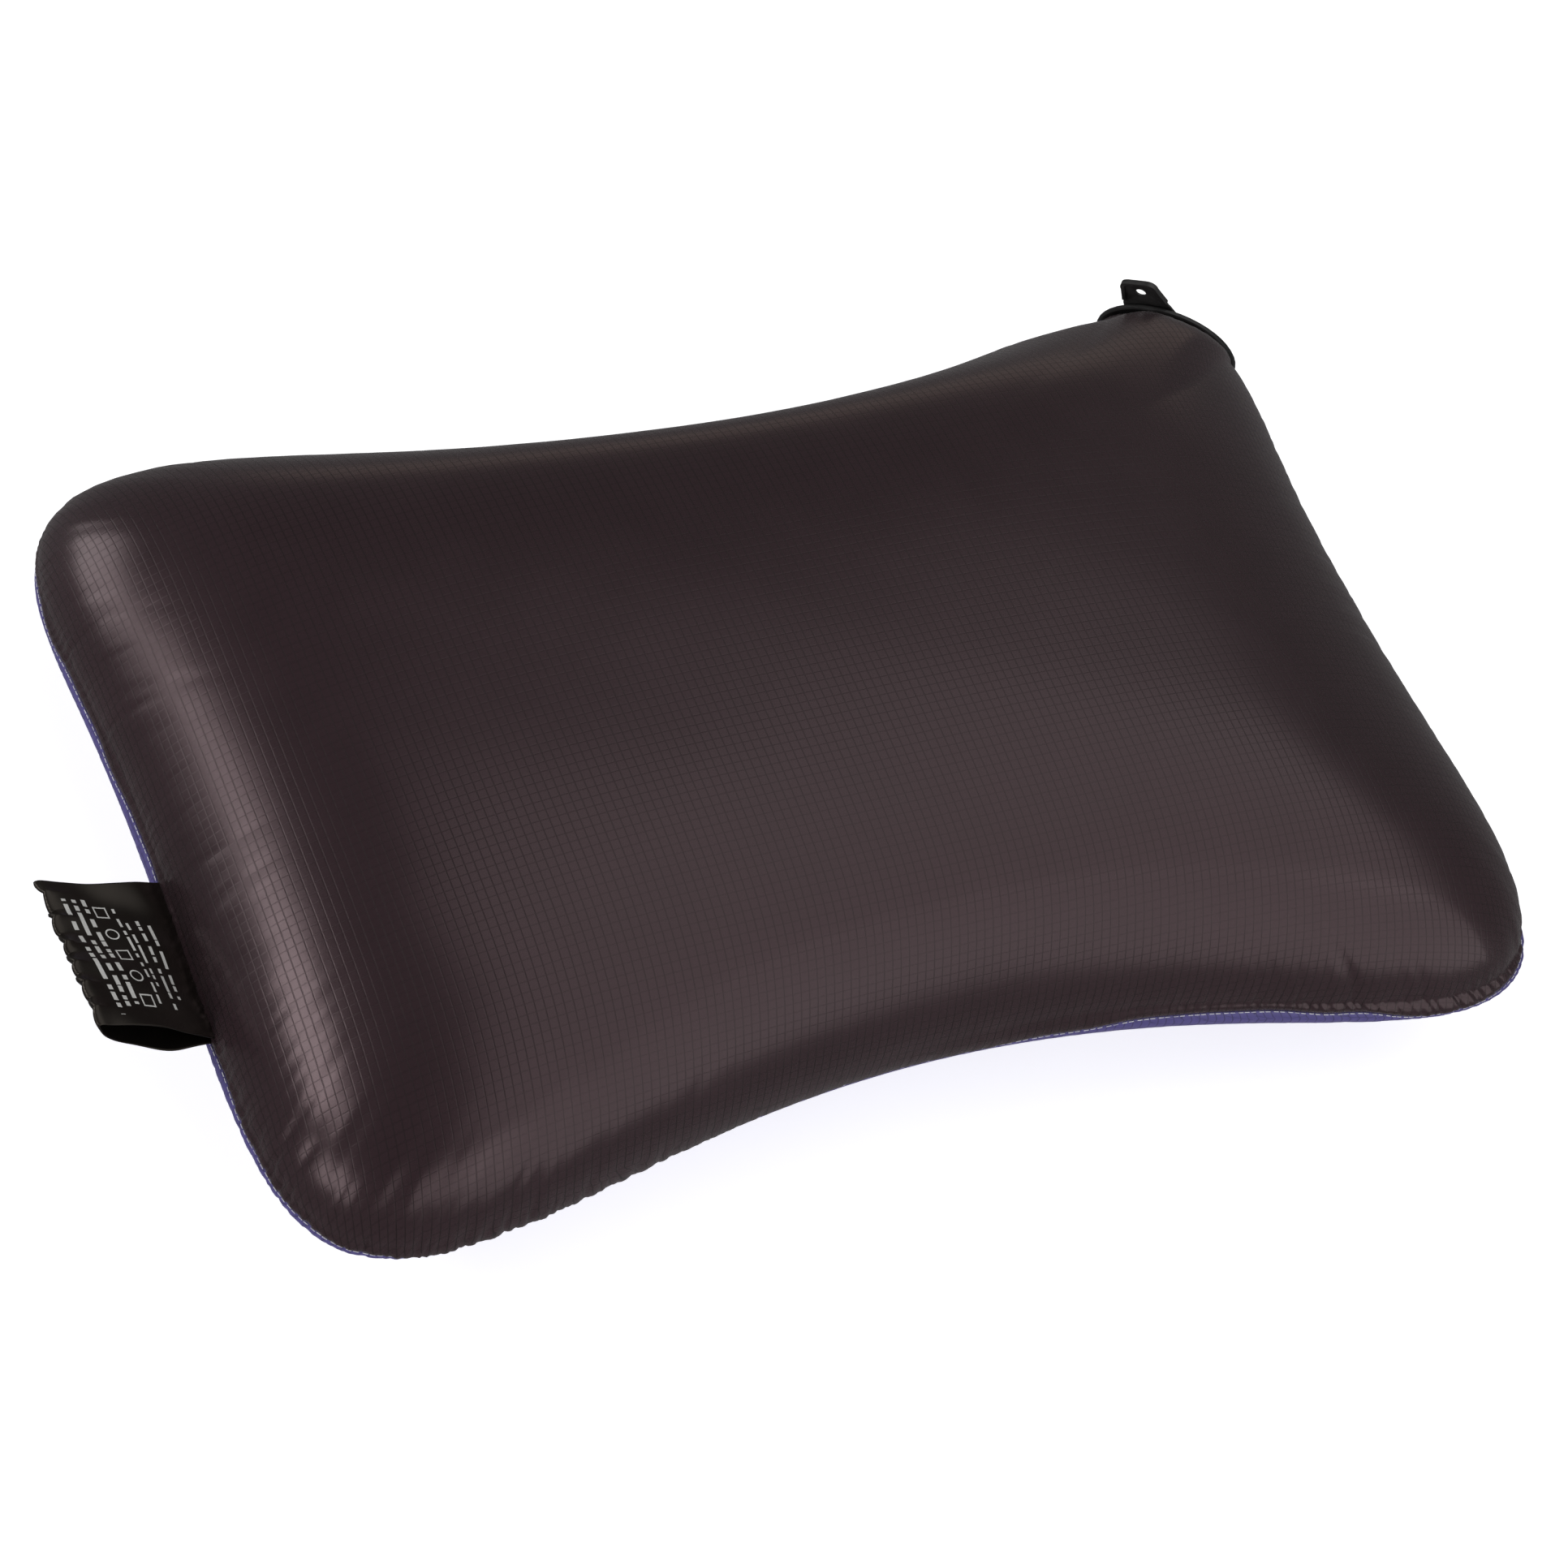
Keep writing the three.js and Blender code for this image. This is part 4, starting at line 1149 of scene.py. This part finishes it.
def add_camera():
    back = towards(CAMERA_TURN, CAMERA_RISE)
    level = (-back).cross(Vector((0, 0, 1))).normalized()
    rise = level.cross(-back)
    right = level * math.cos(CAMERA_ROLL) + rise * math.sin(CAMERA_ROLL)
    up = rise * math.cos(CAMERA_ROLL) - level * math.sin(CAMERA_ROLL)
    target = Vector((0, 0, AIM_HEIGHT)) + right * AIM_ACROSS + up * AIM_UP
    data = bpy.data.cameras.new("camera")
    data.lens = CAMERA_LENS
    data.sensor_width = CAMERA_SENSOR
    camera = bpy.data.objects.new("camera", data)
    camera.matrix_world = placed(target + back * CAMERA_DISTANCE, right, up, back)
    bpy.context.scene.collection.objects.link(camera)
    bpy.context.scene.camera = camera


def add_area(name, place, target, width, height, power, colour=WHITE):
    data = bpy.data.lights.new(name, "AREA")
    data.shape = "RECTANGLE"
    data.size, data.size_y = width, height
    data.energy = power
    data.color = colour
    light = bpy.data.objects.new(name, data)
    light.location = place
    light.rotation_euler = (target - place).to_track_quat("-Z", "Y").to_euler()
    bpy.context.scene.collection.objects.link(light)
    return light


def add_floor():
    """A pale floor that lights the pillow's sides but isn't seen in reflections."""
    low, high = -FLOOR_HALF, FLOOR_HALF
    corners = [(low, low, 0), (high, low, 0), (high, high, 0), (low, high, 0)]
    floor = new_object("floor", corners, [[0, 1, 2, 3]])
    floor.location.z = -FLOOR_DROP
    floor.visible_glossy = False
    give(floor, Nodes("pale_floor").set(Base_Color=srgb(240, 240, 240), Roughness=0.9,
                                        Emission_Color=(*WHITE, 1), Emission_Strength=FLOOR_GLOW))


def add_lights():
    for name, turn, rise, width, height, power, colour in SOFTBOXES:
        place = LIGHT_AIM + towards(turn, rise) * LIGHT_DISTANCE
        add_area(name, place, LIGHT_AIM, width, height, power, colour)
    below = PANEL_PLACE - Vector((0, 0, 1))
    panel_light = add_area("overhead_panel", PANEL_PLACE, below, PANEL_WIDTH, PANEL_LENGTH, PANEL_POWER)
    panel_light.rotation_euler.rotate_axis("Z", PANEL_TURN)


def add_world():
    world = bpy.data.worlds.new("studio")
    world.use_nodes = True
    background = world.node_tree.nodes["Background"]
    background.inputs["Color"].default_value = (*WHITE, 1)
    background.inputs["Strength"].default_value = WORLD_STRENGTH
    bpy.context.scene.world = world
    bpy.context.scene.view_settings.view_transform = "Standard"


add_camera()
add_floor()
add_lights()
add_world()
